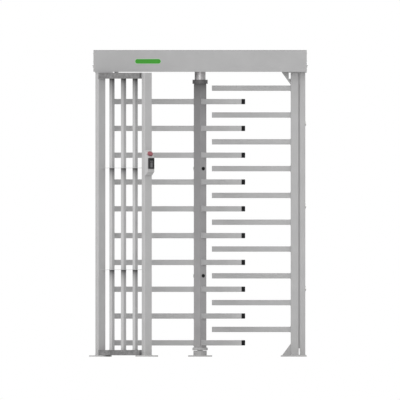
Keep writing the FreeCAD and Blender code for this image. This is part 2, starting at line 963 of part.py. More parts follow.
def fixed_hinge_leaf(middle):
    """Leaf on the rear panel with a knuckle at each end."""
    half = hinge_width / 2.0
    inner = hinge_width / 6.0 + hinge_side_gap
    face = header_depth / 2.0
    low = hinge_z - hinge_leaf_height
    shoulder = hinge_z - hinge_knuckle_radius - hinge_side_gap
    pieces = [block(middle - half, middle + half, face, face + hinge_leaf_thickness, low, shoulder)]
    bores = []
    for x_low, x_high in ((middle - half, middle - inner), (middle + inner, middle + half)):
        outside, bore = knuckle(x_low, x_high, hinge_pin_radius)
        pieces += [outside, block(x_low, x_high, face, face + hinge_leaf_thickness, shoulder, hinge_z)]
        bores.append(bore)
    return without(joined(pieces), bores)


def moving_hinge_leaf(middle):
    """Short leaf at the lid's rear edge with the middle knuckle."""
    half = hinge_width / 6.0
    tab = block(middle - half, middle + half, header_depth / 2.0, hinge_y, lid_bottom,
                hinge_z + hinge_knuckle_radius)
    outside, bore = knuckle(middle - half, middle + half, hinge_pin_radius + running_clearance)
    return joined([tab, outside]).cut(bore)


def hinge_pin(middle):
    start = point(middle - hinge_width / 2.0, hinge_y, hinge_z)
    return rod_along(point(1, 0), hinge_pin_radius, hinge_width, start)


# Key locks, drawn for the left end
def lock_axis(x):
    return point(x, 0.0, header_bottom + lock_centre_height)


def left_escutcheon():
    start = lock_axis(header_left - lock_escutcheon_thickness)
    plate = rod_along(point(1, 0), lock_escutcheon_radius, lock_escutcheon_thickness, start)
    bore = lock_barrel_radius + running_clearance
    return plate.cut(rod_along(point(1, 0), bore, lock_escutcheon_thickness, start))


def left_lock_barrel():
    start = lock_axis(header_left - lock_barrel_proud)
    barrel = rod_along(point(1, 0), lock_barrel_radius, lock_barrel_length, start)
    slot = block(start.x, start.x + key_slot_depth, -key_slot_width / 2.0, key_slot_width / 2.0,
                 start.z - key_slot_length / 2.0, start.z + key_slot_length / 2.0)
    return barrel.cut(slot)


def left_lock_cam():
    """Flat cam on the barrel's inner end, hanging down at rest."""
    start = lock_axis(header_left - lock_barrel_proud + lock_barrel_length)
    half = lock_cam_width / 2.0
    arm = block(start.x, start.x + lock_cam_thickness, -half, half, start.z - lock_cam_length, start.z)
    return joined([arm, rod_along(point(1, 0), half, lock_cam_thickness, start)])


def mirrored_across_header(shape):
    """Copy at the other end of the header."""
    return shape.mirror(point((header_left + header_right) / 2.0, 0.0), point(1.0, 0.0, 0.0))


# Support plates between the header and the posts
def left_support_plate():
    low = header_left + left_support_inset
    reach = left_post_y + left_support_overhang
    return block(low, low + left_support_length, -reach, reach, support_bottom, header_bottom)


def right_support_plate():
    high = header_right - right_support_inset
    half = right_support_depth / 2.0
    return block(high - right_support_length, high, -half, half, support_bottom, header_bottom)


# Cage: half an octagon of posts and bars around the walkway, drawn for the front half
left_post = (-cage_distance, -left_post_y)
entry_post = (-entry_post_offset, -entry_post_y)
post_top = support_bottom - post_cap_thickness
bar_bottom = post_flange_thickness + bottom_rail_height


def cage_post(place):
    return square_tube(cage_post_width, cage_post_wall, cage_post_corner, octagon_half_angle,
                       place[0], place[1], post_flange_thickness, post_top)


def cage_post_cap(place):
    return square_bar(cage_post_width, cage_post_corner, octagon_half_angle, place[0], place[1],
                      post_top, support_bottom)


def cage_post_flange(place, first_hole_angle):
    """Round foot with anchor holes that stay clear of the rails."""
    holes = []
    for index in range(anchor_count):
        turn = math.radians(first_hole_angle + 360.0 * index / anchor_count)
        x = place[0] + anchor_circle_radius * math.cos(turn)
        y = place[1] + anchor_circle_radius * math.sin(turn)
        holes.append(rod(anchor_hole_radius, 0.0, post_flange_thickness, x, y))
    return without(rod(post_flange_radius, 0.0, post_flange_thickness, place[0], place[1]), holes)


def post_corner(place, angle):
    turn = math.radians(angle)
    return (place[0] + post_half_diagonal * math.cos(turn), place[1] + post_half_diagonal * math.sin(turn))


def post_outline(place):
    angles = [octagon_half_angle + 45.0 + 90.0 * index for index in range(4)]
    return plan_face([post_corner(place, angle) for angle in angles])


rail_start = post_corner(left_post, 225.0 + octagon_half_angle)
rail_end = post_corner(entry_post, 180.0 - octagon_half_angle)


def on_outer_line(corner):
    """Foot of a corner on the outer line of the front rail."""
    step = (sum(rail_start) - sum(corner)) / 2.0
    return (corner[0] + step, corner[1] + step)


def between_front_posts(outer_corners):
    """Outline from the given corners along the rail's inner side, cut to the faces of both posts."""
    inward = rail_width / 2.0 / math.sqrt(2.0)
    inner_corners = [(post[0] + inward, post[1] + inward) for post in (entry_post, left_post)]
    outline = plan_face(outer_corners + inner_corners)
    return without(outline, [post_outline(left_post), post_outline(entry_post)]).Faces[0]


def front_rail_face():
    """Outline of a front rail, fitted round the left post and square at the entry post's corner."""
    return between_front_posts([rail_start, on_outer_line(rail_end), rail_end])


def front_plate_face():
    """Outline of a front stiffener plate, square at the near corners of both posts."""
    start = post_corner(left_post, -octagon_half_angle)
    return between_front_posts([start, on_outer_line(start), on_outer_line(rail_end), rail_end])


def side_rail_face():
    half = rail_width / 2.0
    low = -cage_distance - half
    high = -cage_distance + half
    outline = plan_face([(low, -left_post_y), (high, -left_post_y), (high, left_post_y), (low, left_post_y)])
    posts = [post_outline(left_post), mirrored_front_to_back(post_outline(left_post))]
    return without(outline, posts).Faces[0]


def channel(face, z_low, z_high):
    """Channel with its open side down."""
    inside = face.makeOffset2D(-rail_wall, 2)
    return raised(face, z_low, z_high).cut(raised(inside, z_low, z_high - rail_wall))


def rails(z_low, z_high):
    front = channel(front_rail_face(), z_low, z_high)
    return [front, channel(side_rail_face(), z_low, z_high), mirrored_front_to_back(front)]


def between(start, end, count):
    """Evenly spaced places between two posts."""
    places = []
    for index in range(count):
        share = (index + 1.0) / (count + 1.0)
        places.append((start[0] + share * (end[0] - start[0]), start[1] + share * (end[1] - start[1])))
    return places


def front_bar_places():
    return between(left_post, entry_post, front_bar_count)


def side_bar_places():
    return between(left_post, (left_post[0], -left_post[1]), side_bar_count)


def cage_bars(places, turn):
    return [square_tube(bar_width, bar_wall, bar_corner, turn, x, y, bar_bottom, support_bottom - rail_wall)
            for x, y in places]


def plate_round_bars(face, places, turn, low):
    """Thin plate with a square hole for each bar."""
    high = low + stiffener_thickness
    holes = [square_bar(bar_width, bar_corner, turn, x, y, low, high) for x, y in places]
    return without(raised(face, low, high), holes)


def stiffener_plates():
    plates = []
    for low in stiffener_heights:
        front = plate_round_bars(front_plate_face(), front_bar_places(), 45.0, low)
        side = plate_round_bars(side_rail_face(), side_bar_places(), 0.0, low)
        plates += [front, side, mirrored_front_to_back(front)]
    return plates


# Comb and the two posts on its right
comb_post_middle = (comb_post_left + comb_post_right) / 2.0
comb_half = comb_post_width / 2.0


def comb_arms():
    """Fixed level tubes between the wings' arms."""
    start = comb_tip_distance + arm_cap_flange
    return [arm_tube(start, comb_post_left, height) for height in comb_heights]


def comb_arm_caps():
    return [arm_cap(comb_tip_distance, 1.0, height) for height in comb_heights]


def bolt_heights():
    count = int((header_bottom - strip_top_drop - first_bolt_height) / bolt_pitch) + 1
    return [first_bolt_height + bolt_pitch * index for index in range(count)]


def bolt_shanks():
    start = comb_post_right - comb_post_wall - bolt_end_proud
    return [rod_along(point(1, 0), bolt_shank_radius, outer_post_right - start, point(start, 0.0, height))
            for height in bolt_heights()]


def comb_post():
    tube = square_tube(comb_post_width, comb_post_wall, comb_post_corner, 0.0, comb_post_middle, 0.0,
                       comb_plate_thickness, support_bottom)
    return without(tube, bolt_shanks())


def outer_post():
    """Narrower tube beside the comb's post."""
    low = comb_plate_thickness
    outside = block(outer_post_left, outer_post_right, -comb_half, comb_half, low, support_bottom)
    wall = comb_post_wall
    inside = block(outer_post_left + wall, outer_post_right - wall, -comb_half + wall, comb_half - wall,
                   low, support_bottom)
    upright = point(0, 0, 1)
    outside = rounded_along(outside, upright, comb_post_corner)
    inside = rounded_along(inside, upright, comb_post_corner - wall)
    return without(outside, [inside] + bolt_shanks())


def joining_strip():
    """Recessed strip that fills the joint between the two posts."""
    half = strip_depth / 2.0
    strip = block(comb_post_right, outer_post_left, -half, half, strip_bottom_height,
                  header_bottom - strip_top_drop)
    return without(strip, bolt_shanks())


def link_plate():
    """Flush plate that closes the joint above the strip."""
    return block(comb_post_right, outer_post_left, -comb_half, comb_half, header_bottom - strip_top_drop,
                 support_bottom)


def post_bolts():
    """Hexagon head bolts that clamp the outer post to the comb's post."""
    bolts = []
    for shank, height in zip(bolt_shanks(), bolt_heights()):
        head = raised(hexagon_face(2.0 * bolt_head_radius), 0.0, bolt_head_height)
        head.rotate(point(0, 0), point(0, 1), 90.0)
        bolts.append(joined([shank, moved(head, outer_post_right, 0.0, height)]))
    return bolts


def top_gusset():
    """Triangle under the header with a notch at its inner corner."""
    notch_left = comb_post_left - gusset_notch_width
    notch_bottom = support_bottom - gusset_notch_height
    corners = [(comb_post_left - top_gusset_width, support_bottom), (notch_left, support_bottom),
               (notch_left, notch_bottom), (comb_post_left, notch_bottom),
               (comb_post_left, support_bottom - top_gusset_height)]
    return upright_plate(corners, -gusset_thickness / 2.0, gusset_thickness / 2.0)


def bottom_gusset():
    low = comb_plate_thickness
    corners = [(comb_post_left, low), (comb_post_left - bottom_gusset_width, low),
               (comb_post_left, low + bottom_gusset_height)]
    return upright_plate(corners, -gusset_thickness / 2.0, gusset_thickness / 2.0)


def comb_base_plate():
    low_x = comb_post_left - comb_plate_left
    high_x = outer_post_right + comb_plate_right
    half = comb_plate_depth / 2.0
    plate = block(low_x, high_x, -half, half, 0.0, comb_plate_thickness)
    inset = comb_plate_hole_inset
    places = [(x, y) for x in (low_x + inset, high_x - inset) for y in (inset - half, half - inset)]
    return without(plate, [rod(anchor_hole_radius, 0.0, comb_plate_thickness, x, y) for x, y in places])


# Card reader pedestal, drawn as if it faced -Y from a post at the origin
pedestal_back = -cage_post_width / 2.0
pedestal_front = pedestal_back - reader_depth
pedestal_top = reader_bottom + reader_back_height
slope_back = pedestal_back - reader_back_depth
slope_angle = math.degrees(math.atan2(reader_slope_drop, slope_back - pedestal_front))
slope_middle_y = (slope_back + pedestal_front) / 2.0
slope_middle_z = pedestal_top - reader_slope_drop / 2.0
button_y = slope_middle_y - button_down_slope * math.cos(math.radians(slope_angle))
button_z = slope_middle_z - button_down_slope * math.sin(math.radians(slope_angle))


def on_entry_post(shape):
    """Pedestal piece, carried to its place on the front face of the entry post."""
    placed = moved(shape, reader_sideways)
    return moved(turned(placed, octagon_half_angle), entry_post[0], entry_post[1])


def on_slope(shape):
    """Piece drawn upright at the origin, carried to the button's place on the sloping top."""
    copy = shape.copy()
    copy.rotate(point(0, 0), point(1, 0), slope_angle)
    return moved(copy, 0.0, button_y, button_z)


def side_profile(corners, x_low, x_high):
    """Prism along X from an outline drawn in the YZ plane."""
    path = [point(x_low, y, z) for y, z in corners]
    return Part.Face(Part.makePolygon(path + path[:1])).extrude(point(x_high - x_low, 0.0))


def reader_profile(inset, back):
    """Outline of the housing, moved inwards by the inset and open towards the post."""
    half_slope = math.radians(slope_angle) / 2.0
    chin_angle = math.atan2(reader_chin_height, reader_chin_depth)
    top_step = inset * math.tan(half_slope)
    front_step = inset * math.tan(math.radians(45.0) - half_slope)
    chin_step = inset * math.tan((math.pi / 2.0 - chin_angle) / 2.0)
    bottom_step = inset * math.tan(chin_angle / 2.0)
    front = pedestal_front + inset
    return [(back, reader_bottom + inset), (back, pedestal_top - inset),
            (slope_back + top_step, pedestal_top - inset),
            (front, pedestal_top - reader_slope_drop - front_step),
            (front, reader_bottom + reader_chin_height + chin_step),
            (pedestal_front + reader_chin_depth + bottom_step, reader_bottom + inset)]


def reader_housing():
    """Folded sheet housing, open at the back where it meets the post."""
    half = reader_width / 2.0
    outside = side_profile(reader_profile(0.0, pedestal_back), -half, half)
    inside = side_profile(reader_profile(reader_wall, pedestal_back), reader_wall - half, half - reader_wall)
    hole = on_slope(rod(button_stem_radius + running_clearance, -2.0 * reader_wall, reader_wall))
    return on_entry_post(without(outside, [inside, hole]))


def card_reader():
    half = card_reader_width / 2.0
    low = reader_bottom + card_reader_bottom
    body = block(-half, half, pedestal_front - card_reader_thickness, pedestal_front, low,
                 low + card_reader_height)
    return on_entry_post(rounded_along(body, point(0, 1), card_reader_corner))


def button_rim():
    inside = button_radius + running_clearance
    return on_entry_post(on_slope(ring(inside + button_rim_width, inside, 0.0, button_rim_height)))


def push_button():
    """Round button with a domed edge on a stem through the housing."""
    low = button_travel + part_gap
    head = rod(button_radius, low, low + button_height)
    head = head.makeFillet(button_height / 2.0, [head.Edges[0]])
    stem = rod(button_stem_radius, low - button_stem_length, low)
    return on_entry_post(on_slope(joined([head, stem])))


def contact_block():
    """Switch body under the sloping top, around the button's stem."""
    half = contact_block_side / 2.0
    low = -reader_wall - contact_block_height
    body = block(-half, half, -half, half, low, -reader_wall)
    bore = rod(button_stem_radius + running_clearance, low, -reader_wall)
    return on_entry_post(on_slope(body.cut(bore)))


def front_and_rear(shapes):
    return shapes + [mirrored_front_to_back(shape) for shape in shapes]


def both_ends(shape):
    return [shape, mirrored_across_header(shape)]


os.makedirs("parts", exist_ok=True)

# Rotor
for number, wing_angle in enumerate(wing_angles, start=1):
    save("wing_%d_arms" % number, wing_arm_tubes(wing_angle))
save("wing_arm_caps", wing_arm_caps())
save("rotor_column", [rotor_column()])
save("column_plugs", column_plugs())
save("top_collar", [top_collar()])
save("drive_shaft", [drive_shaft()])
save("foot_flange", [foot_flange()])
save("bearing_inner_ring_and_balls", [bearing_inner_ring()] + bearing_balls())
save("shaft_spacers_and_nut", shaft_spacers() + [shaft_nut()])
save("main_gear", [main_gear()])
save("locking_disc", [locking_disc()])

# Floor pivot and upper bearing
save("pivot_housing", [pivot_housing()])
save("pivot_bush_and_thrust_pad", [pivot_bush(), thrust_pad()])
save("upper_bearing_housing", [upper_bearing_housing(), bearing_cover()])
save("bearing_outer_ring", [bearing_outer_ring()])

# Mechanism
save("mechanism_plate", [mechanism_plate()])
save("damper_body", [damper_body()])
save("damper_pinion", [damper_pinion()])
save("pawl_pins_and_clips", both_sides(right_pawl_pin()) + both_sides(right_pawl_clip()))
save("right_pawl", [right_pawl(), right_link_pin()])
save("left_pawl", [mirrored_left_to_right(shape) for shape in (right_pawl(), right_link_pin())])
save("right_plunger", [right_plunger()])
save("left_plunger", [mirrored_left_to_right(right_plunger())])
save("solenoids_and_brackets", both_sides(right_solenoid()) + both_sides(right_solenoid_bracket()))
save("position_sensor_and_bracket", [position_sensor(), sensor_bracket()])
save("control_board", [control_board()] + board_standoffs() + board_relays())
save("power_supply", [power_supply()])
save("terminal_blocks", terminal_blocks())
save("cable_gland_and_nut", [cable_gland(), gland_nut()])

# Header case
save("header_base_pan", [base_pan()])
save("header_front_panel", [front_panel()])
save("header_rear_panel", [mirrored_front_to_back(front_panel())])
save("header_end_panels", [end_panel(header_left, 1.0), end_panel(header_right, -1.0)])
save("header_lid", [header_lid()])
save("lid_hinge_leaves", [moving_hinge_leaf(x) for x in hinge_places()])
save("fixed_hinge_leaves_and_pins", [fixed_hinge_leaf(x) for x in hinge_places()]
     + [hinge_pin(x) for x in hinge_places()])
save("indicator_bezels", front_and_rear([front_indicator_bezel()]))
save("indicator_lenses_and_boards", front_and_rear([front_indicator_lens(), front_indicator_board()]))
save("lock_escutcheons", both_ends(left_escutcheon()))
save("left_lock", [left_lock_barrel(), left_lock_cam()])
save("right_lock", [mirrored_across_header(shape) for shape in (left_lock_barrel(), left_lock_cam())])
save("header_support_plates", [left_support_plate(), right_support_plate()])

# Cage
save("cage_posts_and_caps", front_and_rear([cage_post(left_post), cage_post(entry_post),
                                            cage_post_cap(left_post), cage_post_cap(entry_post)]))
save("cage_bars", front_and_rear(cage_bars(front_bar_places(), 45.0)) + cage_bars(side_bar_places(), 0.0))
save("cage_rails", rails(support_bottom - top_rail_height, support_bottom)
     + rails(post_flange_thickness, bar_bottom))
save("cage_stiffener_plates", stiffener_plates())
save("floor_plates", front_and_rear([cage_post_flange(left_post, left_post_hole_angle),
                                     cage_post_flange(entry_post, entry_post_hole_angle)])
     + [pivot_base_plate(), comb_base_plate()])

# Comb and its posts
save("comb_arms", comb_arms())
save("comb_arm_caps", comb_arm_caps())
save("comb_post", [comb_post()])
save("outer_post", [outer_post()])
save("post_joining_strips", [joining_strip(), link_plate()])
save("post_bolts", post_bolts())
save("comb_gussets", [top_gusset(), bottom_gusset()])

# Card reader pedestal
save("reader_housing", [reader_housing()])
save("card_reader", [card_reader()])
save("push_button", [push_button()])
save("button_rim_and_contact_block", [button_rim(), contact_block()])
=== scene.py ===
import json
import math
import random

import bmesh
import bpy
from mathutils import Matrix, Vector


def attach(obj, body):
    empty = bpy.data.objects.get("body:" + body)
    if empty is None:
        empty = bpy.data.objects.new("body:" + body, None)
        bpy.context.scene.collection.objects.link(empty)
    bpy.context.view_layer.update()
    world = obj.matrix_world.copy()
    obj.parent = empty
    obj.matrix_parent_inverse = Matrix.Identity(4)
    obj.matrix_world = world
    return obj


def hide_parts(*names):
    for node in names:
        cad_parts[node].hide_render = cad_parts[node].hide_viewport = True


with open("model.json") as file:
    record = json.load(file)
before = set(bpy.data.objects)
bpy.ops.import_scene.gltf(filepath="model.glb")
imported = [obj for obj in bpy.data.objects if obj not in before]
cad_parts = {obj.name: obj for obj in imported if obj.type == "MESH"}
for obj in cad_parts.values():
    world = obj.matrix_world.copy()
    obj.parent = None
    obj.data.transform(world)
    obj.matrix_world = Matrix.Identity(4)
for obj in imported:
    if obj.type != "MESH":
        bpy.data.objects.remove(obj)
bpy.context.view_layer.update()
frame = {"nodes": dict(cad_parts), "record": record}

# Everything is in metres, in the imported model's frame: X to the right, Y away from the viewer, Z up.
# The rotor turns about Z at the origin and the floor is at Z = 0.

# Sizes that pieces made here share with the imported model
ARM_WIDTH = 0.030
ARM_HEIGHT = 0.040
ARM_CORNER = 0.004
ARM_PITCH = 0.201
ARM_COUNT = 10
TOP_ARM_HEIGHT = 1.913
COMB_ARM_OFFSET = 0.1005
WING_ANGLES = (60.0, 180.0, 300.0)
COLUMN_HALF = 0.047
COMB_POST_FACE = 0.6795
COMB_POST_MIDDLE = 0.7095
OUTER_POST_MIDDLE = 0.768
OUTER_POST_WIDTH = 0.042
LEFT_POST = (-0.748, -0.30983)
ENTRY_POST = (-0.400, -0.65783)
POST_WIDTH = 0.060
POST_CORNER = 0.006
POST_TURN = 22.5
FRONT_BAR_COUNT = 3
SIDE_BAR_COUNT = 4
BAR_WIDTH = 0.030
BAR_CORNER = 0.004
FLANGE_TOP = 0.010
BOTTOM_RAIL_TOP = 0.050
TOP_RAIL_UNDERSIDE = 2.085
POST_TOP = 2.130
STIFFENER_TOPS = (0.6535, 1.4165)
COLUMN_TOP = 2.043
BOTH_SIDES = (-1.0, 1.0)
UP = Vector((0.0, 0.0, 1.0))


def plan_direction(degrees):
    """Level direction; 0 is to the right and 90 away from the viewer."""
    turn = math.radians(degrees)
    return Vector((math.cos(turn), math.sin(turn), 0.0))


RIGHT = plan_direction(0.0)
BACKWARD = plan_direction(90.0)


# Objects and meshes
def linked_object(name, data):
    made = bpy.data.objects.new(name, data)
    bpy.context.collection.objects.link(made)
    return made


def finished_mesh(name, build):
    """Mesh object whose shape the build function adds to a new bmesh."""
    shape = bmesh.new()
    build(shape)
    bmesh.ops.remove_doubles(shape, verts=shape.verts, dist=1e-6)
    bmesh.ops.recalc_face_normals(shape, faces=shape.faces)
    mesh = bpy.data.meshes.new(name)
    shape.to_mesh(mesh)
    shape.free()
    return linked_object(name, mesh)


def shade_smooth_by_angle(piece, degrees):
    """Smooth shading with sharp edges kept where faces meet steeply."""
    mesh = piece.data
    for polygon in mesh.polygons:
        polygon.use_smooth = True
    mesh.set_sharp_from_angle(angle=math.radians(degrees))


# Steps that the materials are made of
NOISE_LOW = 0.3
NOISE_HIGH = 0.7


def blank_material(name):
    material = bpy.data.materials.new(name)
    material.use_nodes = True
    tree = material.node_tree
    return material, tree, tree.nodes["Principled BSDF"]


def coordinates(tree):
    return tree.nodes.new("ShaderNodeTexCoord").outputs["Object"]


def stretched(tree, vector, scale):
    """Coordinates scaled per axis, for grain that runs one way."""
    mapping = tree.nodes.new("ShaderNodeMapping")
    mapping.inputs["Scale"].default_value = scale
    tree.links.new(vector, mapping.inputs["Vector"])
    return mapping.outputs["Vector"]


def noise(tree, vector, scale, detail=3.0, roughness=0.55):
    texture = tree.nodes.new("ShaderNodeTexNoise")
    texture.inputs["Scale"].default_value = scale
    texture.inputs["Detail"].default_value = detail
    texture.inputs["Roughness"].default_value = roughness
    tree.links.new(vector, texture.inputs["Vector"])
    return texture.outputs["Fac"]


def ranged(tree, value, from_low, from_high, to_low, to_high):
    remap = tree.nodes.new("ShaderNodeMapRange")
    remap.inputs["From Min"].default_value = from_low
    remap.inputs["From Max"].default_value = from_high
    remap.inputs["To Min"].default_value = to_low
    remap.inputs["To Max"].default_value = to_high
    tree.links.new(value, remap.inputs["Value"])
    return remap.outputs["Result"]


def graded(tree, texture, to_low, to_high):
    """The middle values of a noise, where most of them lie, spread over a new range."""
    return ranged(tree, texture, NOISE_LOW, NOISE_HIGH, to_low, to_high)


def arithmetic(tree, operation, first, second=0.0):
    """Result of one operation on two numbers, each a socket or a constant."""
    sums = tree.nodes.new("ShaderNodeMath")
    sums.operation = operation
    for socket, value in ((sums.inputs[0], first), (sums.inputs[1], second)):
        if isinstance(value, float):
            socket.default_value = value
        else:
            tree.links.new(value, socket)
    return sums.outputs["Value"]


def product(tree, first, second):
    return arithmetic(tree, "MULTIPLY", first, second)


def shade(colour, factor):
    return tuple(channel * factor for channel in colour)


def opaque(colour):
    return colour + (1.0,)


def mixed_colour(tree, factor, first, second):
    mix = tree.nodes.new("ShaderNodeMix")
    mix.data_type = "RGBA"
    for socket, colour in ((mix.inputs["A"], first), (mix.inputs["B"], second)):
        if isinstance(colour, tuple):
            socket.default_value = opaque(colour)
        else:
            tree.links.new(colour, socket)
    tree.links.new(factor, mix.inputs["Factor"])
    return mix.outputs["Result"]


def clouded(tree, place, colour, dark, light, scale, detail=3.0):
    """Colour that wanders in clouds between a dark and a light shade of it."""
    cloud = noise(tree, place, scale, detail)
    return mixed_colour(tree, graded(tree, cloud, 0.0, 1.0),
                        shade(colour, dark), shade(colour, light))


def bumped(tree, height, strength, distance, normal=None):
    bump = tree.nodes.new("ShaderNodeBump")
    bump.inputs["Strength"].default_value = strength
    bump.inputs["Distance"].default_value = distance
    tree.links.new(height, bump.inputs["Height"])
    if normal is not None:
        tree.links.new(normal, bump.inputs["Normal"])
    return bump.outputs["Normal"]


def rounded_edges(tree, radius):
    """Normal that rounds sharp edges, and how close each point is to such an edge."""
    bevel = tree.nodes.new("ShaderNodeBevel")
    bevel.samples = 4
    bevel.inputs["Radius"].default_value = radius
    surface = tree.nodes.new("ShaderNodeNewGeometry")
    facing = tree.nodes.new("ShaderNodeVectorMath")
    facing.operation = "DOT_PRODUCT"
    tree.links.new(bevel.outputs["Normal"], facing.inputs[0])
    tree.links.new(surface.outputs["Normal"], facing.inputs[1])
    closeness = ranged(tree, facing.outputs["Value"], 0.75, 0.99, 1.0, 0.0)
    return bevel.outputs["Normal"], closeness


def split_axes(tree, place):
    axes = tree.nodes.new("ShaderNodeSeparateXYZ")
    tree.links.new(place, axes.inputs["Vector"])
    return axes.outputs["X"], axes.outputs["Y"], axes.outputs["Z"]


def cover_surface(tree, surface, tint, roughness, normal):
    tree.links.new(tint, surface.inputs["Base Color"])
    tree.links.new(roughness, surface.inputs["Roughness"])
    tree.links.new(normal, surface.inputs["Normal"])


def painted_shade_below(tree, height, ledges):
    """Share of painted shade under ledges, fading downwards."""
    total = 0.0
    for ledge, reach, share in ledges:
        depth = arithmetic(tree, "SUBTRACT", ledge, height)
        faded = arithmetic(tree, "EXPONENT", arithmetic(tree, "DIVIDE", depth, -reach))
        below = product(tree, arithmetic(tree, "GREATER_THAN", depth, 0.0), share)
        total = arithmetic(tree, "ADD", product(tree, faded, below), total)
    return total


def shaded_column_faces(tree, place):
    """Share of painted shade on the column's faces between the wings, more of it high up; 0 on its wing
    faces.
    """
    across, along, height = split_axes(tree, place)
    # X cubed less 3 X times Y squared has the sign of the cosine of three times the angle
    along_part = product(tree, product(tree, along, along), 3.0)
    across_part = product(tree, across, across)
    lobes = product(tree, across, arithmetic(tree, "SUBTRACT", across_part, along_part))
    higher = ranged(tree, height, from_low=0.3, from_high=1.6, to_low=0.12, to_high=1.0)
    return product(tree, arithmetic(tree, "GREATER_THAN", lobes, 0.0), higher)


# Materials
def powder_coat(name, colour, roughness=0.48, mottling=0.05, ledges=(), sheen=0.45, shaded_faces=None):
    """Powder-coated steel: fine orange peel, faint mottling, worn edges, a little dust low down, and
    painted shade under any ledges and on any shaded faces.
    """
    material, tree, surface = blank_material(name)
    place = coordinates(tree)
    height = split_axes(tree, place)[2]
    rounded, edge = rounded_edges(tree, radius=0.0014)
    coat = clouded(tree, place, colour, 1.0 - mottling, 1.0 + mottling, scale=7.0, detail=4.0)
    specks = noise(tree, place, scale=420.0, detail=2.0)
    speck = ranged(tree, specks, 0.62, 0.70, 0.0, 0.10)
    coat = mixed_colour(tree, speck, coat, shade(colour, 0.7))
    rubbing = noise(tree, place, scale=60.0)
    rub = ranged(tree, rubbing, 0.45, 0.65, 0.0, 0.5)
    coat = mixed_colour(tree, product(tree, edge, rub), coat, shade(colour, 1.25))
    # Painted shade: darker on the faces that the given function picks out
    if shaded_faces:
        coat = mixed_colour(tree, shaded_faces(tree, place), coat, shade(colour, 0.72))
    # Painted shade: the coat turns dark just under each ledge and fades downwards
    if ledges:
        coat = mixed_colour(tree, painted_shade_below(tree, height, ledges), coat, shade(colour, 0.05))
    low = ranged(tree, height, from_low=0.0, from_high=0.22, to_low=0.22, to_high=0.0)
    dust = product(tree, low, noise(tree, place, scale=22.0, detail=5.0))
    coat = mixed_colour(tree, dust, coat, (0.42, 0.40, 0.37))
    smear = noise(tree, place, scale=16.0, detail=4.0)
    orange_peel = noise(tree, place, scale=700.0, detail=2.0)
    cover_surface(tree, surface, coat,
                  graded(tree, smear, roughness - 0.06, roughness + 0.08),
                  bumped(tree, orange_peel, strength=0.12, distance=0.0004, normal=rounded))
    surface.inputs["Specular IOR Level"].default_value = sheen
    return material


def spangled_steel(name, colour, roughness=0.46):
    """Hot-dip galvanised steel that has weathered: crystals of uneven brightness under dark patches."""
    material, tree, surface = blank_material(name)
    place = coordinates(tree)
    rounded, edge = rounded_edges(tree, radius=0.0012)
    crystals = tree.nodes.new("ShaderNodeTexVoronoi")
    crystals.inputs["Scale"].default_value = 75.0
    tree.links.new(place, crystals.inputs["Vector"])
    channels = tree.nodes.new("ShaderNodeSeparateColor")
    tree.links.new(crystals.outputs["Color"], channels.inputs["Color"])
    facet = channels.outputs["Red"]
    coat = mixed_colour(tree, facet, shade(colour, 0.78), shade(colour, 1.22))
    patches = noise(tree, place, scale=13.0, detail=5.0, roughness=0.65)
    patch = ranged(tree, patches, 0.38, 0.68, 0.0, 0.55)
    coat = mixed_colour(tree, patch, coat, shade(colour, 0.45))
    coat = mixed_colour(tree, product(tree, edge, 0.35), coat, shade(colour, 1.6))
    pitting = noise(tree, place, scale=260.0, detail=4.0)
    cover_surface(tree, surface, coat,
                  ranged(tree, facet, 0.0, 1.0, roughness - 0.10, roughness + 0.12),
                  bumped(tree, pitting, strength=0.2, distance=0.0004, normal=rounded))
    surface.inputs["Specular IOR Level"].default_value = 0.30
    return material


def metal(name, colour, roughness, grain_scale, grain_strength):
    """Bare or plated metal whose fine grain runs along the stretched axes."""
    material, tree, surface = blank_material(name)
    place = coordinates(tree)
    grain = noise(tree, stretched(tree, place, grain_scale), scale=1.0)
    cover_surface(tree, surface,
                  clouded(tree, place, colour, 0.90, 1.06, scale=30.0),
                  ranged(tree, grain, 0.2, 0.8, roughness - 0.08, roughness + 0.08),
                  bumped(tree, grain, grain_strength, distance=0.0003))
    surface.inputs["Metallic"].default_value = 1.0
    return material


def plastic(name, colour, roughness=0.5, grain=900.0, grain_strength=0.15, variation=0.12, sheen=0.5):
    """Moulded plastic with a fine spark-eroded texture; the sheen is the strength of its reflections."""
    material, tree, surface = blank_material(name)
    place = coordinates(tree)
    fine = noise(tree, place, grain, detail=2.0)
    cover_surface(tree, surface,
                  clouded(tree, place, colour, 1.0 - variation, 1.0 + variation, scale=45.0),
                  graded(tree, fine, roughness - 0.05, roughness + 0.05),
                  bumped(tree, fine, grain_strength, distance=0.0002))
    surface.inputs["Specular IOR Level"].default_value = sheen
    return material


def turned_steel(name, colour, roughness):
    """Turned steel: fine tool marks that run round the Z axis."""
    material, tree, surface = blank_material(name)
    place = coordinates(tree)
    rings = noise(tree, stretched(tree, place, (4.0, 4.0, 900.0)), scale=1.0, detail=2.0)
    cover_surface(tree, surface,
                  clouded(tree, place, colour, 0.88, 1.05, scale=25.0),
                  ranged(tree, rings, 0.2, 0.8, roughness - 0.07, roughness + 0.12),
                  bumped(tree, rings, strength=0.25, distance=0.0002))
    surface.inputs["Metallic"].default_value = 1.0
    surface.inputs["Anisotropic"].default_value = 0.45
    return material


def cast_iron(name, colour):
    """Painted casting with the grain of its sand mould."""
    material, tree, surface = blank_material(name)
    place = coordinates(tree)
    grain = noise(tree, place, scale=240.0, detail=6.0, roughness=0.7)
    cover_surface(tree, surface,
                  clouded(tree, place, colour, 0.82, 1.12, scale=18.0, detail=4.0),
                  graded(tree, grain, 0.5, 0.72),
                  bumped(tree, grain, strength=0.5, distance=0.0008))
    surface.inputs["Metallic"].default_value = 0.35
    return material


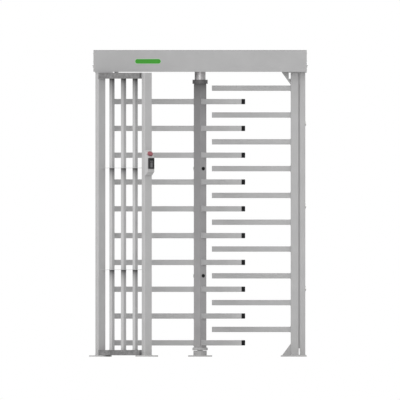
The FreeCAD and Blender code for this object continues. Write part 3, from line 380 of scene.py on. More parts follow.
def lit_lens(name, colour, glow):
    """Diffusing lens with rows of lamps behind it, seen as soft lighter spots."""
    material, tree, surface = blank_material(name)
    place = coordinates(tree)
    cells = tree.nodes.new("ShaderNodeTexVoronoi")
    cells.inputs["Scale"].default_value = 95.0
    cells.inputs["Randomness"].default_value = 0.0
    tree.links.new(place, cells.inputs["Vector"])
    spot = ranged(tree, cells.outputs["Distance"], 0.05, 0.75, 1.0, 0.0)
    cloud = noise(tree, place, scale=20.0, detail=2.0)
    level = product(tree, spot, graded(tree, cloud, 0.6, 1.0))
    tint = mixed_colour(tree, level, shade(colour, 0.85), shade(colour, 1.15))
    fine = noise(tree, place, scale=500.0, detail=2.0)
    cover_surface(tree, surface, tint,
                  graded(tree, fine, 0.30, 0.42),
                  bumped(tree, fine, strength=0.06, distance=0.0002))
    tree.links.new(tint, surface.inputs["Emission Color"])
    surface.inputs["Emission Strength"].default_value = glow
    surface.inputs["Specular IOR Level"].default_value = 0.22
    return material


def circuit_board(name, colour):
    """Solder mask over a layer of copper tracks, which show as slightly lighter runs."""
    material, tree, surface = blank_material(name)
    place = coordinates(tree)
    tracks = tree.nodes.new("ShaderNodeTexBrick")
    tracks.inputs["Scale"].default_value = 60.0
    tracks.inputs["Mortar Size"].default_value = 0.012
    tracks.inputs["Brick Width"].default_value = 1.9
    tracks.inputs["Row Height"].default_value = 0.10
    tracks.inputs["Color1"].default_value = opaque(colour)
    tracks.inputs["Color2"].default_value = opaque(shade(colour, 0.8))
    tracks.inputs["Mortar"].default_value = opaque(shade(colour, 1.35))
    tree.links.new(place, tracks.inputs["Vector"])
    fine = noise(tree, place, scale=200.0)
    cover_surface(tree, surface, tracks.outputs["Color"],
                  graded(tree, fine, 0.28, 0.42),
                  bumped(tree, tracks.outputs["Fac"], strength=0.2, distance=0.0001))
    return material


def smoked_window(name):
    """Dark glossy acrylic, faintly clouded."""
    material, tree, surface = blank_material(name)
    place = coordinates(tree)
    cloud = noise(tree, place, scale=90.0, detail=2.0)
    fine = noise(tree, place, scale=300.0, detail=2.0)
    cover_surface(tree, surface,
                  mixed_colour(tree, cloud, (0.004, 0.010, 0.009), (0.010, 0.018, 0.016)),
                  graded(tree, cloud, 0.10, 0.18),
                  bumped(tree, fine, strength=0.03, distance=0.0001))
    surface.inputs["Specular IOR Level"].default_value = 0.2
    return material


# Finishes of the object; a ledge has its height, how far painted shade reaches below it and its share
PAINT = (0.437, 0.435, 0.438)
COLUMN_PAINT = (0.362, 0.355, 0.363)
BLACK = (0.008, 0.008, 0.009)
# Painted shade under the top rail, short and dark then long and faint under each stiffener plate, and
# under the collar on the column
RAIL_LEDGES = ((TOP_RAIL_UNDERSIDE, 0.17, 0.68), (TOP_RAIL_UNDERSIDE, 0.025, 0.36))
STIFFENER_LEDGES = tuple((top, 0.036, 1.0) for top in STIFFENER_TOPS)
FAINT_LEDGES = tuple((top, 0.20, 0.09) for top in STIFFENER_TOPS)
COLUMN_LEDGES = ((COLUMN_TOP, 0.04, 0.50), (COLUMN_TOP, 0.80, 0.26))

# Each bare or plated metal has a colour, a roughness, a grain for each axis and the grain's strength
METALS = {
    "button_rim": ((0.55, 0.54, 0.53), 0.30, (60.0, 60.0, 600.0), 0.15),
    "gear_steel": ((0.38, 0.37, 0.36), 0.36, (300.0, 300.0, 40.0), 0.15),
    "bearing_steel": ((0.68, 0.68, 0.69), 0.16, (80.0, 80.0, 700.0), 0.08),
    "bush_bronze": ((0.55, 0.36, 0.16), 0.33, (50.0, 50.0, 700.0), 0.15),
    "zinc_steel": ((0.60, 0.60, 0.58), 0.34, (200.0, 200.0, 200.0), 0.12),
    "lock_chrome": ((0.66, 0.66, 0.67), 0.16, (90.0, 90.0, 500.0), 0.06),
    "supply_aluminium": ((0.60, 0.61, 0.62), 0.38, (30.0, 500.0, 500.0), 0.15),
}


def painted_finishes():
    """Finishes of the welded frame, the rotor, the header and the reader's housing."""
    bar_ledges = RAIL_LEDGES + STIFFENER_LEDGES + FAINT_LEDGES
    return {
        "painted_frame": powder_coat("painted_frame", PAINT, mottling=0.035),
        # The bars' paint is a lit copy of the frame's, 5 % lighter, as painted light; its ledges add
        # painted shade
        "painted_bars": powder_coat("painted_bars", shade(PAINT, 1.05), ledges=bar_ledges),
        # The column's paint carries painted shade under the collar and on its faces between the wings,
        # darker towards the top
        "painted_column": powder_coat("painted_column", COLUMN_PAINT, roughness=0.46, mottling=0.09,
                                      ledges=COLUMN_LEDGES, shaded_faces=shaded_column_faces),
        # The header's paint is a shaded copy of the frame's, as painted shade
        "painted_header": powder_coat("painted_header", shade(PAINT, 0.94), roughness=0.50,
                                      mottling=0.03, sheen=0.20),
        # The reader housing's paint is a lit copy of the frame's, as painted light
        "painted_reader": powder_coat("painted_reader", shade(PAINT, 1.10), roughness=0.44,
                                      mottling=0.03),
    }


def plastic_finishes():
    return {
        "gland_grey": plastic("gland_grey", (0.44, 0.45, 0.45)),
        "black_plastic": plastic("black_plastic", BLACK, roughness=0.55, sheen=0.12),
        "reader_black": plastic("reader_black", BLACK, roughness=0.42, grain=1200.0, sheen=0.4),
        "button_red": plastic("button_red", (0.258, 0.060, 0.075), roughness=0.46, grain=600.0,
                              grain_strength=0.05),
        "indicator_green": lit_lens("indicator_green", (0.024, 0.250, 0.006), glow=0.10),
        "indicator_rim": plastic("indicator_rim", (0.420, 0.560, 0.400), roughness=0.35, grain=700.0,
                                 grain_strength=0.08, variation=0.05),
        "solenoid_black": plastic("solenoid_black", (0.022, 0.022, 0.024), roughness=0.48, grain=500.0),
        "circuit_green": circuit_board("circuit_green", (0.020, 0.130, 0.045)),
        "terminal_grey": plastic("terminal_grey", (0.30, 0.31, 0.32), roughness=0.55, grain=600.0),
    }


def metal_finishes():
    made = {name: metal(name, *look) for name, look in METALS.items()}
    made["painted_rails"] = spangled_steel("painted_rails", (0.200, 0.197, 0.199))
    made["dull_collar"] = spangled_steel("dull_collar", (0.130, 0.126, 0.130))
    made["turned_steel"] = turned_steel("turned_steel", (0.39, 0.38, 0.385), roughness=0.40)
    made["housing_iron"] = cast_iron("housing_iron", (0.17, 0.18, 0.19))
    return made


def dress_nodes(materials):
    """Each node takes the finish of its slot in the record; the collar has a duller one."""
    for part in frame["record"]["subparts"]:
        finish = "dull_collar" if part["node"] == "top_collar" else part["material_slot"]
        slots = frame["nodes"][part["node"]].data.materials
        slots.clear()
        slots.append(materials[finish])


materials = {**painted_finishes(), **plastic_finishes(), **metal_finishes()}
dress_nodes(materials)


# Pieces and the shapes that they share
def finish_piece(piece, slot, body="root", degrees=35.0):
    """Smooth a piece, give it the finish of a slot and let it ride on a body."""
    shade_smooth_by_angle(piece, degrees)
    piece.data.materials.append(materials[slot])
    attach(piece, body)


def add_piece(build, slot, body="root", degrees=35.0):
    """Make the piece that is named after the function that builds its shape."""
    finish_piece(finished_mesh(build.__name__, build), slot, body, degrees)


def spaced(middle, pitch, count):
    """Evenly spaced values round a middle one."""
    return [middle + pitch * (index - (count - 1) / 2.0) for index in range(count)]


def add_rings(shape, rings, loop=False):
    """Skin between rings with the same number of points, closed at both ends or joined up as a loop."""
    rows = [[shape.verts.new(corner) for corner in ring] for ring in rings]
    count = len(rows[0])
    pairs = list(zip(rows, rows[1:]))
    if loop:
        pairs.append((rows[-1], rows[0]))
    else:
        shape.faces.new(rows[0])
        shape.faces.new(rows[-1])
    for near, far in pairs:
        for index in range(count):
            after = (index + 1) % count
            shape.faces.new((near[index], near[after], far[after], far[index]))


def flat_reach(radius, angle, flats):
    """Distance from the middle of a polygon with a number of flats to its edge at an angle."""
    sector = 2.0 * math.pi / flats
    return radius / math.cos(angle % sector - sector / 2.0)


def add_turned(shape, base, axis, profile, steps=24):
    """Turned form; each step of its profile is a radius, a height and a number of flats, 0 for round."""
    turn = axis.to_track_quat("Z", "Y").to_matrix()
    angles = [2.0 * math.pi * index / steps for index in range(steps)]
    rings = []
    for radius, height, flats in profile:
        ring = []
        for angle in angles:
            reach = flat_reach(radius, angle, flats) if flats else radius
            point = Vector((reach * math.cos(angle), reach * math.sin(angle), height))
            ring.append(base + turn @ point)
        rings.append(ring)
    add_rings(shape, rings)


def add_socket_screw(shape, base, axis, radius, height):
    """Button head with a hexagon socket."""
    socket = 0.42 * radius
    add_turned(shape, base, axis, (
        (radius, 0.0, 0), (radius, 0.35 * height, 0), (0.88 * radius, 0.75 * height, 0),
        (0.66 * radius, height, 0), (socket, height, 6), (socket, 0.40 * height, 6)))


def add_hexagon_bolt(shape, base, axis, half_flats, height):
    """Hexagon head with a chamfer, on a washer."""
    washer = 1.45 * half_flats
    thick = 0.2 * height
    add_turned(shape, base, axis, (
        (washer, 0.0, 0), (washer, 0.8 * thick, 0), (0.97 * washer, thick, 0), (half_flats, thick, 6),
        (half_flats, thick + 0.88 * height, 6), (0.94 * half_flats, thick + height, 0)))


def add_rounded_box(shape, low, high, radius, segments=1):
    """Box between two corners with rounded edges."""
    made = bmesh.ops.create_cube(shape, size=1.0)["verts"]
    for vertex in made:
        for axis in range(3):
            vertex.co[axis] = high[axis] if vertex.co[axis] > 0.0 else low[axis]
    edges = list({edge for vertex in made for edge in vertex.link_edges})
    bmesh.ops.bevel(shape, geom=edges, offset=radius, segments=segments, profile=0.5, affect="EDGES")


# Beads of weld
BEAD_SIDES = 8
BEAD_SPACING = 1.2
BEAD_END = 0.4
RIPPLE_CREST = 1.12
RIPPLE_HOLLOW = 0.90
RIPPLE_CHANCE = 0.07
WELD_SMOOTHING = 50.0


def along_path(corners, spacing, closed):
    """Evenly spaced points on the straight runs between the corners."""
    ends = corners[1:] + corners[:1] if closed else corners[1:]
    points = []
    for start, end in zip(corners, ends):
        count = max(1, round((end - start).length / spacing))
        points += [start.lerp(end, index / count) for index in range(count)]
    if not closed:
        points.append(corners[-1])
    return points


def add_weld(shape, corners, normal, radius, seed, closed=True):
    """Rippled bead of weld along a line; the normal is square to the line."""
    chance = random.Random(seed)
    points = along_path(corners, BEAD_SPACING * radius, closed)
    last = len(points) - 1
    turns = [2.0 * math.pi * side / BEAD_SIDES for side in range(BEAD_SIDES)]
    rings = []
    for index, middle in enumerate(points):
        if closed:
            ahead = points[(index + 1) % (last + 1)] - points[index - 1]
        else:
            ahead = points[min(index + 1, last)] - points[max(index - 1, 0)]
        across = ahead.cross(normal).normalized()
        ripple = RIPPLE_CREST if index % 2 else RIPPLE_HOLLOW
        size = radius * (ripple + chance.uniform(-RIPPLE_CHANCE, RIPPLE_CHANCE))
        if not closed and index in (0, last):
            size *= BEAD_END
        rings.append([middle + across * (size * math.cos(turn)) + normal * (size * math.sin(turn))
                      for turn in turns])
    add_rings(shape, rings, loop=closed)


def rounded_outline(half_width, half_height, corner, steps=3):
    """Points on a rectangle with rounded corners, as pairs."""
    pairs = []
    for quarter, (side, end) in enumerate(((1.0, 1.0), (-1.0, 1.0), (-1.0, -1.0), (1.0, -1.0))):
        for step in range(steps + 1):
            angle = math.radians(90.0 * (quarter + step / steps))
            pairs.append((side * (half_width - corner) + corner * math.cos(angle),
                          end * (half_height - corner) + corner * math.sin(angle)))
    return pairs


def add_ring_weld(shape, centre, across, up, width, height, corner, radius, seed):
    """Bead all round a tube where it meets a face; across and up lie in that face."""
    reach = 0.3 * radius
    outline = rounded_outline(width / 2 + reach, height / 2 + reach, corner + reach)
    corners = [centre + across * u + up * v for u, v in outline]
    add_weld(shape, corners, across.cross(up), radius, seed)


# Welds of the frame and the rotor
ARM_BEAD = 0.0030
BAR_FOOT_BEAD = 0.0028
STIFFENER_BEAD = 0.0016
POST_BEAD = 0.0035
RAIL_BEAD = 0.0025
RAIL_BEAD_INSET = 0.002
GUSSET_BEAD = 0.0028
GUSSET_BEAD_SINK = 0.0005
GUSSET_HALF = 0.004
TOP_GUSSET_LEG = (0.062, 0.017)
TOP_GUSSET_RISE = (2.044, 2.083)
LOW_GUSSET_LEG = (0.060, 0.004)
LOW_GUSSET_RISE = (0.013, 0.094)
COMB_SEED = 40
BAR_SEED = 80
CAGE_POST_SEED = 120
COMB_POST_SEED = 130
RAIL_SEED = 140
GUSSET_SEED = 160


def mirrored_back(place):
    return (place[0], -place[1])


def places_between(start, end, count):
    """Evenly spaced places between two posts."""
    shares = [(index + 1.0) / (count + 1.0) for index in range(count)]
    return [(start[0] + share * (end[0] - start[0]), start[1] + share * (end[1] - start[1]))
            for share in shares]


def add_arm_welds(shape, face, across, top, first_seed):
    """Beads round the ends of a column of arms; the face is the place in plan where they end."""
    for index in range(ARM_COUNT):
        centre = face + UP * (top - index * ARM_PITCH)
        add_ring_weld(shape, centre, across, UP, ARM_WIDTH, ARM_HEIGHT, ARM_CORNER, ARM_BEAD,
                      first_seed + index)


def wing_welds(angle):
    """Beads round the arms of one wing, on the column's face."""
    def build(shape):
        add_arm_welds(shape, plan_direction(angle) * COLUMN_HALF, plan_direction(angle + 90.0),
                      TOP_ARM_HEIGHT, 0)

    return build


def comb_welds(shape):
    add_arm_welds(shape, RIGHT * COMB_POST_FACE, BACKWARD, TOP_ARM_HEIGHT + COMB_ARM_OFFSET, COMB_SEED)


def add_foot_weld(shape, place, height, turn, width, depth, corner, radius, seed):
    """Bead round an upright tube; the turn is the direction of its width, in degrees."""
    centre = Vector((place[0], place[1], height))
    add_ring_weld(shape, centre, plan_direction(turn), plan_direction(turn + 90.0), width, depth,
                  corner, radius, seed)


def bar_places():
    """Place and turn of every cage bar."""
    front = places_between(LEFT_POST, ENTRY_POST, FRONT_BAR_COUNT)
    side = places_between(LEFT_POST, mirrored_back(LEFT_POST), SIDE_BAR_COUNT)
    placed = [(place, 45.0) for place in front]
    placed += [(mirrored_back(place), 45.0) for place in front]
    return placed + [(place, 0.0) for place in side]


def bar_welds(shape):
    """Beads where the bars stand on the bottom rails and pass through the stiffener plates."""
    levels = ((BOTTOM_RAIL_TOP, BAR_FOOT_BEAD),)
    levels += tuple((top, STIFFENER_BEAD) for top in STIFFENER_TOPS)
    for seed, (place, turn) in enumerate(bar_places(), start=BAR_SEED):
        for height, radius in levels:
            add_foot_weld(shape, place, height, turn, BAR_WIDTH, BAR_WIDTH, BAR_CORNER, radius, seed)


def post_welds(shape):
    """Beads round the feet of all six posts."""
    cage_posts = ((LEFT_POST, POST_TURN), (mirrored_back(LEFT_POST), -POST_TURN),
                  (ENTRY_POST, POST_TURN), (mirrored_back(ENTRY_POST), -POST_TURN))
    for seed, (place, turn) in enumerate(cage_posts, start=CAGE_POST_SEED):
        add_foot_weld(shape, place, FLANGE_TOP, turn, POST_WIDTH, POST_WIDTH, POST_CORNER, POST_BEAD,
                      seed)
    for x, width in ((COMB_POST_MIDDLE, POST_WIDTH), (OUTER_POST_MIDDLE, OUTER_POST_WIDTH)):
        add_foot_weld(shape, (x, 0.0), FLANGE_TOP, 0.0, width, POST_WIDTH, POST_CORNER, POST_BEAD,
                      COMB_POST_SEED)


def post_edge(place, degrees):
    """Place of a post's corner, seen from above."""
    corner = plan_direction(degrees) * (POST_WIDTH / math.sqrt(2.0))
    return (place[0] + corner.x, place[1] + corner.y)


def rail_welds(shape):
    """Upright beads where the rails meet the posts' corners."""
    outer = post_edge(LEFT_POST, 225.0 + POST_TURN)
    inner = post_edge(ENTRY_POST, 180.0 - POST_TURN)
    spans = ((FLANGE_TOP, BOTTOM_RAIL_TOP), (TOP_RAIL_UNDERSIDE, POST_TOP))
    corners = (outer, inner, mirrored_back(outer), mirrored_back(inner))
    for seed, (x, y) in enumerate(corners, start=RAIL_SEED):
        for low, high in spans:
            line = [Vector((x, y, low + RAIL_BEAD_INSET)), Vector((x, y, high - RAIL_BEAD_INSET))]
            add_weld(shape, line, plan_direction(45.0), RAIL_BEAD, seed, closed=False)


def gusset_welds(shape):
    """Beads on both sides of the comb's top and bottom gussets, along a level leg and an upright one."""
    face = COMB_POST_FACE - GUSSET_BEAD_SINK
    gussets = ((POST_TOP - GUSSET_BEAD_SINK, TOP_GUSSET_LEG, TOP_GUSSET_RISE),
               (FLANGE_TOP + GUSSET_BEAD_SINK, LOW_GUSSET_LEG, LOW_GUSSET_RISE))
    for side in BOTH_SIDES:
        y = side * GUSSET_HALF
        lines = []
        for level, (far, near), (low, high) in gussets:
            lines.append([Vector((face - far, y, level)), Vector((face - near, y, level))])
            lines.append([Vector((face, y, low)), Vector((face, y, high))])
        for seed, line in enumerate(lines, start=GUSSET_SEED):
            add_weld(shape, line, BACKWARD, GUSSET_BEAD, seed, closed=False)


for number, angle in enumerate(WING_ANGLES, start=1):
    wing = finished_mesh("wing_%d_welds" % number, wing_welds(angle))
    finish_piece(wing, "painted_frame", "rotor", WELD_SMOOTHING)
add_piece(comb_welds, "painted_frame", degrees=WELD_SMOOTHING)
add_piece(bar_welds, "painted_bars", degrees=WELD_SMOOTHING)
add_piece(post_welds, "painted_frame", degrees=WELD_SMOOTHING)
add_piece(rail_welds, "painted_frame", degrees=WELD_SMOOTHING)
add_piece(gusset_welds, "painted_frame", degrees=WELD_SMOOTHING)


# Washers of the outer post's bolts and the faces of the column's plugs
POST_BOLT_MIDDLE = 1.130
POST_BOLT_PITCH = 0.619
WASHER_PROFILE = ((0.0205, 0.0, 0), (0.0205, 0.0018, 0), (0.0198, 0.0024, 0))
PLUG_HEIGHTS = (1.4105, 0.6065)
PLUG_PROUD = 0.0019
PLUG_PROFILE = ((0.0085, 0.0, 0), (0.0080, 0.0008, 0), (0.0062, 0.0008, 0), (0.0056, 0.0002, 0))


def post_bolt_washers(shape):
    """Washers under the heads of the bolts that hold the outer post."""
    face = RIGHT * (OUTER_POST_MIDDLE + OUTER_POST_WIDTH / 2)
    for height in spaced(POST_BOLT_MIDDLE, POST_BOLT_PITCH, count=3):
        add_turned(shape, face + UP * height, RIGHT, WASHER_PROFILE, steps=32)


def plug_centres(shape):
    """Moulded ring on the face of each column plug."""
    for angle in WING_ANGLES:
        out = plan_direction(angle)
        for height in PLUG_HEIGHTS:
            add_turned(shape, out * (COLUMN_HALF + PLUG_PROUD) + UP * height, out, PLUG_PROFILE)


add_piece(post_bolt_washers, "zinc_steel")
add_piece(plug_centres, "black_plastic", "rotor")


# Fasteners of the header case
HEADER_END = 0.800
HEADER_BACK = 0.200
END_SCREW_OUT = 0.172
LOW_SCREW_HEIGHT = 2.152
HIGH_SCREW_HEIGHT = 2.274
HINGE_PLACES = (-0.600, 0.0, 0.600)
HINGE_LEAF_THICKNESS = 0.002
HINGE_SCREW_OUT = 0.018
RIVET_PITCH = 0.180
RIVET_HEIGHT = 2.146
RIVET_PROFILE = ((0.0040, 0.0, 0), (0.0036, 0.0008, 0), (0.0024, 0.0014, 0), (0.0008, 0.0017, 0))


def end_panel_screws(shape):
    """Button-head screws near the corners of both end panels."""
    for side in BOTH_SIDES:
        for y in (-END_SCREW_OUT, END_SCREW_OUT):
            for height in (LOW_SCREW_HEIGHT, HIGH_SCREW_HEIGHT):
                base = Vector((side * HEADER_END, y, height))
                add_socket_screw(shape, base, RIGHT * side, radius=0.0045, height=0.0024)


def hinge_screws(shape):
    """Two screws in each fixed hinge leaf on the rear panel."""
    leaf_face = HEADER_BACK + HINGE_LEAF_THICKNESS
    for x in HINGE_PLACES:
        for offset in (-HINGE_SCREW_OUT, HINGE_SCREW_OUT):
            base = Vector((x + offset, leaf_face, HIGH_SCREW_HEIGHT))
            add_socket_screw(shape, base, BACKWARD, radius=0.0036, height=0.0020)


def panel_rivets(shape):
    """Domed rivets along the lower edge of the rear panel, where it is fixed to the base pan."""
    for x in spaced(0.0, RIVET_PITCH, count=9):
        add_turned(shape, Vector((x, HEADER_BACK, RIVET_HEIGHT)), BACKWARD, RIVET_PROFILE, steps=16)


add_piece(end_panel_screws, "zinc_steel")
add_piece(hinge_screws, "zinc_steel")
add_piece(panel_rivets, "painted_header")


# Card reader and the screws of its housing, drawn as if the pedestal faced -Y from the origin
READER_SIDEWAYS = -0.004
READER_BACK = -0.094
READER_FACE = -0.104
READER_WIDTH = 0.048
READER_LOW = 1.409
READER_HIGH = 1.490
READER_CORNER = 0.004
READER_RECESS = READER_FACE + 0.0012
READER_PROUD = READER_FACE + 0.0004
SMALLEST_CORNER = 0.0006
HOUSING_SIDE = 0.0265
HOUSING_SCREW_Y = -0.042
HOUSING_SCREW_HEIGHTS = (1.385, 1.525)


def on_entry_post(piece):
    """Carry a piece drawn at the origin to the turned face of the entry post."""
    post = Matrix.Translation((ENTRY_POST[0], ENTRY_POST[1], 0.0))
    turn = Matrix.Rotation(math.radians(POST_TURN), 4, "Z")
    sideways = Matrix.Translation((READER_SIDEWAYS, 0.0, 0.0))
    piece.data.transform(post @ turn @ sideways)
    return piece


def add_upright_plate(shape, half_width, low, high, corner, steps):
    """Plate built up in steps; each step is a Y place and how far it is drawn in."""
    middle = (low + high) / 2.0
    rings = []
    for y, inset in steps:
        outline = rounded_outline(half_width - inset, (high - low) / 2.0 - inset,
                                  max(corner - inset, SMALLEST_CORNER), steps=4)
        rings.append([Vector((u, y, middle + v)) for u, v in outline])
    add_rings(shape, rings)


def reader_case(shape):
    """Case with a rounded rim and a recessed face."""
    add_upright_plate(shape, READER_WIDTH / 2.0, READER_LOW, READER_HIGH, READER_CORNER, (
        (READER_BACK, 0.0006), (READER_BACK - 0.0006, 0.0), (READER_FACE + 0.0022, 0.0),
        (READER_FACE + 0.0007, 0.0006), (READER_FACE, 0.0022), (READER_FACE, 0.0034),
        (READER_FACE + 0.0010, 0.0040), (READER_RECESS, 0.0046)))


def reader_window(shape):
    """Smoked strip over the place of the status lamp."""
    steps = ((READER_RECESS + 0.0004, 0.0), (READER_PROUD + 0.0004, 0.0), (READER_PROUD, 0.0005))
    add_upright_plate(shape, half_width=0.0135, low=1.4785, high=1.4835, corner=0.0020, steps=steps)


def reader_marks(shape):
    """Plain raised outline of a card below a short bar, to show where to hold a card."""
    bar = ((READER_RECESS + 0.0004, 0.0), (READER_PROUD + 0.0003, 0.0), (READER_PROUD, 0.0004))
    card = bar + ((READER_PROUD, 0.0018), (READER_PROUD + 0.0005, 0.0022))
    add_upright_plate(shape, half_width=0.0125, low=1.4630, high=1.4690, corner=0.0020, steps=bar)
    add_upright_plate(shape, half_width=0.0085, low=1.4190, high=1.4570, corner=0.0025, steps=card)


def housing_screws(shape):
    """Screws in both sides of the folded housing."""
    for side in BOTH_SIDES:
        for height in HOUSING_SCREW_HEIGHTS:
            base = Vector((side * HOUSING_SIDE, HOUSING_SCREW_Y, height))
            add_socket_screw(shape, base, RIGHT * side, radius=0.0034, height=0.0016)


case = on_entry_post(finished_mesh("card_reader_case", reader_case))
finish_piece(case, "reader_black")
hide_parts("card_reader")
window = on_entry_post(finished_mesh("card_reader_window", reader_window))
finish_piece(window, "reader_black")
window.data.materials[0] = smoked_window("smoked_window")
marks = on_entry_post(finished_mesh("card_reader_marks", reader_marks))
finish_piece(marks, "reader_black")
marks.data.materials[0] = plastic("marks_grey", (0.115, 0.115, 0.120))
finish_piece(on_entry_post(finished_mesh("housing_screws", housing_screws)), "zinc_steel")


# Fasteners of the mechanism in the header
PLATE_TOP = 2.149
PLATE_BOLT_PLACES = (-0.270, -0.130, 0.130, 0.270)
PLATE_BOLT_OUT = 0.128
COVER_TOP = 2.182
COVER_SCREW_CIRCLE = 0.060
DAMPER_TOP = 2.186
DAMPER_Y = 0.120
DAMPER_SCREW_CIRCLE = 0.0335
SOLENOID_Y = -0.080
SOLENOID_SCREW_PLACES = (-0.200, -0.164, 0.164, 0.200)
SOLENOID_SCREW_OUT = 0.013
SOLENOID_FOOT = 0.004
DISC_MIDDLE = 2.229
SENSOR_BRACKET_Y = -0.138
SENSOR_BRACKET_HALF = 0.004
SENSOR_NUT_HEIGHT = 0.004
SENSOR_NUT_PROFILE = ((0.0085, 0.0, 0), (0.0090, 0.0004, 6), (0.0090, 0.0036, 6),
                      (0.0085, SENSOR_NUT_HEIGHT, 0))


def mechanism_plate_bolts(shape):
    """Bolts that hold the mechanism plate down."""
    for x in PLATE_BOLT_PLACES:
        for y in (-PLATE_BOLT_OUT, PLATE_BOLT_OUT):
            add_hexagon_bolt(shape, Vector((x, y, PLATE_TOP)), UP, half_flats=0.0080, height=0.0070)


def add_screw_circle(shape, middle, circle, count, radius, height):
    """Screws evenly round a circle, the first one half a step from the right."""
    for index in range(count):
        base = middle + plan_direction(360.0 * (index + 0.5) / count) * circle
        add_socket_screw(shape, base, UP, radius, height)


def bearing_cover_screws(shape):
    add_screw_circle(shape, UP * COVER_TOP, COVER_SCREW_CIRCLE, count=6, radius=0.0048, height=0.0040)


def damper_screws(shape):
    add_screw_circle(shape, Vector((0.0, DAMPER_Y, DAMPER_TOP)), DAMPER_SCREW_CIRCLE, count=4,
                     radius=0.0028, height=0.0020)


def solenoid_screws(shape):
    """Screws in the feet of both solenoid brackets."""
    for x in SOLENOID_SCREW_PLACES:
        for offset in (-SOLENOID_SCREW_OUT, SOLENOID_SCREW_OUT):
            base = Vector((x, SOLENOID_Y + offset, PLATE_TOP + SOLENOID_FOOT))
            add_socket_screw(shape, base, UP, radius=0.0036, height=0.0032)


def sensor_nuts(shape):
    """Thin nuts on both sides of the sensor's bracket."""
    behind = SENSOR_BRACKET_Y + SENSOR_BRACKET_HALF
    before = SENSOR_BRACKET_Y - SENSOR_BRACKET_HALF - SENSOR_NUT_HEIGHT
    for start in (behind, before):
        add_turned(shape, Vector((0.0, start, DISC_MIDDLE)), BACKWARD, SENSOR_NUT_PROFILE)


# Small parts on the control board, the power supply and the terminals
BOARD_TOP = 2.1526
BOARD_MIDDLE = -0.500
# Place and half size of each chip, in X and Y
CHIPS = ((-0.555, -0.046, 0.012, 0.007), (-0.520, -0.046, 0.007, 0.007), (-0.455, 0.045, 0.016, 0.006))
CHIP_STAND = 0.0006
CHIP_RISE = 0.0032
LEG_PITCH = 0.0025
LEG_HALF = 0.0004
LEG_REACH = 0.0016
LEG_RISE = 0.0012
CAPACITOR_X = -0.440
CAPACITOR_MIDDLE = -0.028
CAPACITOR_PITCH = 0.016
CAPACITOR_PROFILE = ((0.0050, 0.0, 0), (0.0055, 0.0006, 0), (0.0048, 0.0016, 0), (0.0055, 0.0026, 0),
                     (0.0055, 0.0120, 0), (0.0050, 0.0126, 0), (0.0036, 0.0124, 0))
PLUG_ROW_OUT = 0.064
PLUG_ROW_SIDEWAYS = -0.0147
PLUG_ROW_PITCH = 0.0078
BOARD_SCREW_PLACES = (-0.582, -0.418)
BOARD_SCREW_OUT = 0.062
RELAY_PITCH = 0.036
RELAY_TOP = 0.0155
RELAY_PANEL_TOP = 0.0166
SUPPLY_MIDDLE = 0.480
SUPPLY_TOP = 2.189
SUPPLY_SCREW_SIDEWAYS = 0.090
SUPPLY_SCREW_OUT = 0.042
LOUVRE_PITCH = 0.0088
LOUVRE_HALF_LENGTH = 0.032
LOUVRE_REACH = 0.0026
LOUVRE_STEPS = 6
TERMINAL_MIDDLE = -0.680
TERMINAL_TOP = 2.169
TERMINAL_PITCH = 0.012
TERMINAL_SCREW_SIDEWAYS = 0.012
TERMINAL_PROFILE = ((0.0040, 0.0, 0), (0.0038, 0.0008, 0), (0.0030, 0.0008, 0), (0.0026, 0.0002, 0))


def add_board_block(shape, x, y, half_x, half_y, bottom, top, radius, segments=1):
    """Block over the control board, between two heights above it."""
    low = Vector((x - half_x, y - half_y, BOARD_TOP + bottom))
    high = Vector((x + half_x, y + half_y, BOARD_TOP + top))
    add_rounded_box(shape, low, high, radius, segments)


def board_chips(shape):
    """Moulded chips, in front of and behind the relays."""
    for x, y, half_x, half_y in CHIPS:
        add_board_block(shape, x, y, half_x, half_y, CHIP_STAND, CHIP_RISE, radius=0.0004)


def chip_legs(shape):
    """Rows of legs along the front and the back of each chip."""
    for x, y, half_x, half_y in CHIPS:
        count = int(2.0 * half_x / LEG_PITCH)
        for leg in spaced(x, 2.0 * half_x / count, count):
            for side in BOTH_SIDES:
                middle = y + side * (half_y + LEG_REACH / 2.0)
                add_board_block(shape, leg, middle, LEG_HALF, LEG_REACH / 2.0, 0.0, LEG_RISE,
                                radius=0.0001)


def board_capacitors(shape):
    """Upright capacitors with a groove near the foot."""
    for y in spaced(CAPACITOR_MIDDLE, CAPACITOR_PITCH, count=4):
        add_turned(shape, Vector((CAPACITOR_X, y, BOARD_TOP)), UP, CAPACITOR_PROFILE)


def board_headers(shape):
    """Plug-in terminal rows along the two long edges of the board."""
    for y in (-PLUG_ROW_OUT, PLUG_ROW_OUT):
        for x in spaced(BOARD_MIDDLE + PLUG_ROW_SIDEWAYS, PLUG_ROW_PITCH, count=8):
            add_board_block(shape, x, y, half_x=0.0036, half_y=0.004, bottom=0.0, top=0.0100,
                            radius=0.0005)


def board_screws(shape):
    for x in BOARD_SCREW_PLACES:
        for y in (-BOARD_SCREW_OUT, BOARD_SCREW_OUT):
            add_socket_screw(shape, Vector((x, y, BOARD_TOP)), UP, radius=0.0032, height=0.0024)


def relay_covers(shape):
    """Raised panel on the top of each relay."""
    for x in spaced(BOARD_MIDDLE, RELAY_PITCH, count=4):
        add_board_block(shape, x, 0.0, half_x=0.0080, half_y=0.0130, bottom=RELAY_TOP,
                        top=RELAY_PANEL_TOP, radius=0.0005, segments=2)


def supply_louvres(shape):
    """Pressed louvres in the top of the power supply."""
    angles = [math.pi * step / LOUVRE_STEPS for step in range(LOUVRE_STEPS + 1)]
    arch = [Vector((LOUVRE_REACH * math.cos(angle), 0.0, 0.7 * LOUVRE_REACH * math.sin(angle)))
            for angle in angles]
    for x in spaced(SUPPLY_MIDDLE, LOUVRE_PITCH, count=16):
        ends = [Vector((x, side * LOUVRE_HALF_LENGTH, SUPPLY_TOP)) for side in BOTH_SIDES]
        add_rings(shape, [[end + point for point in arch] for end in ends])


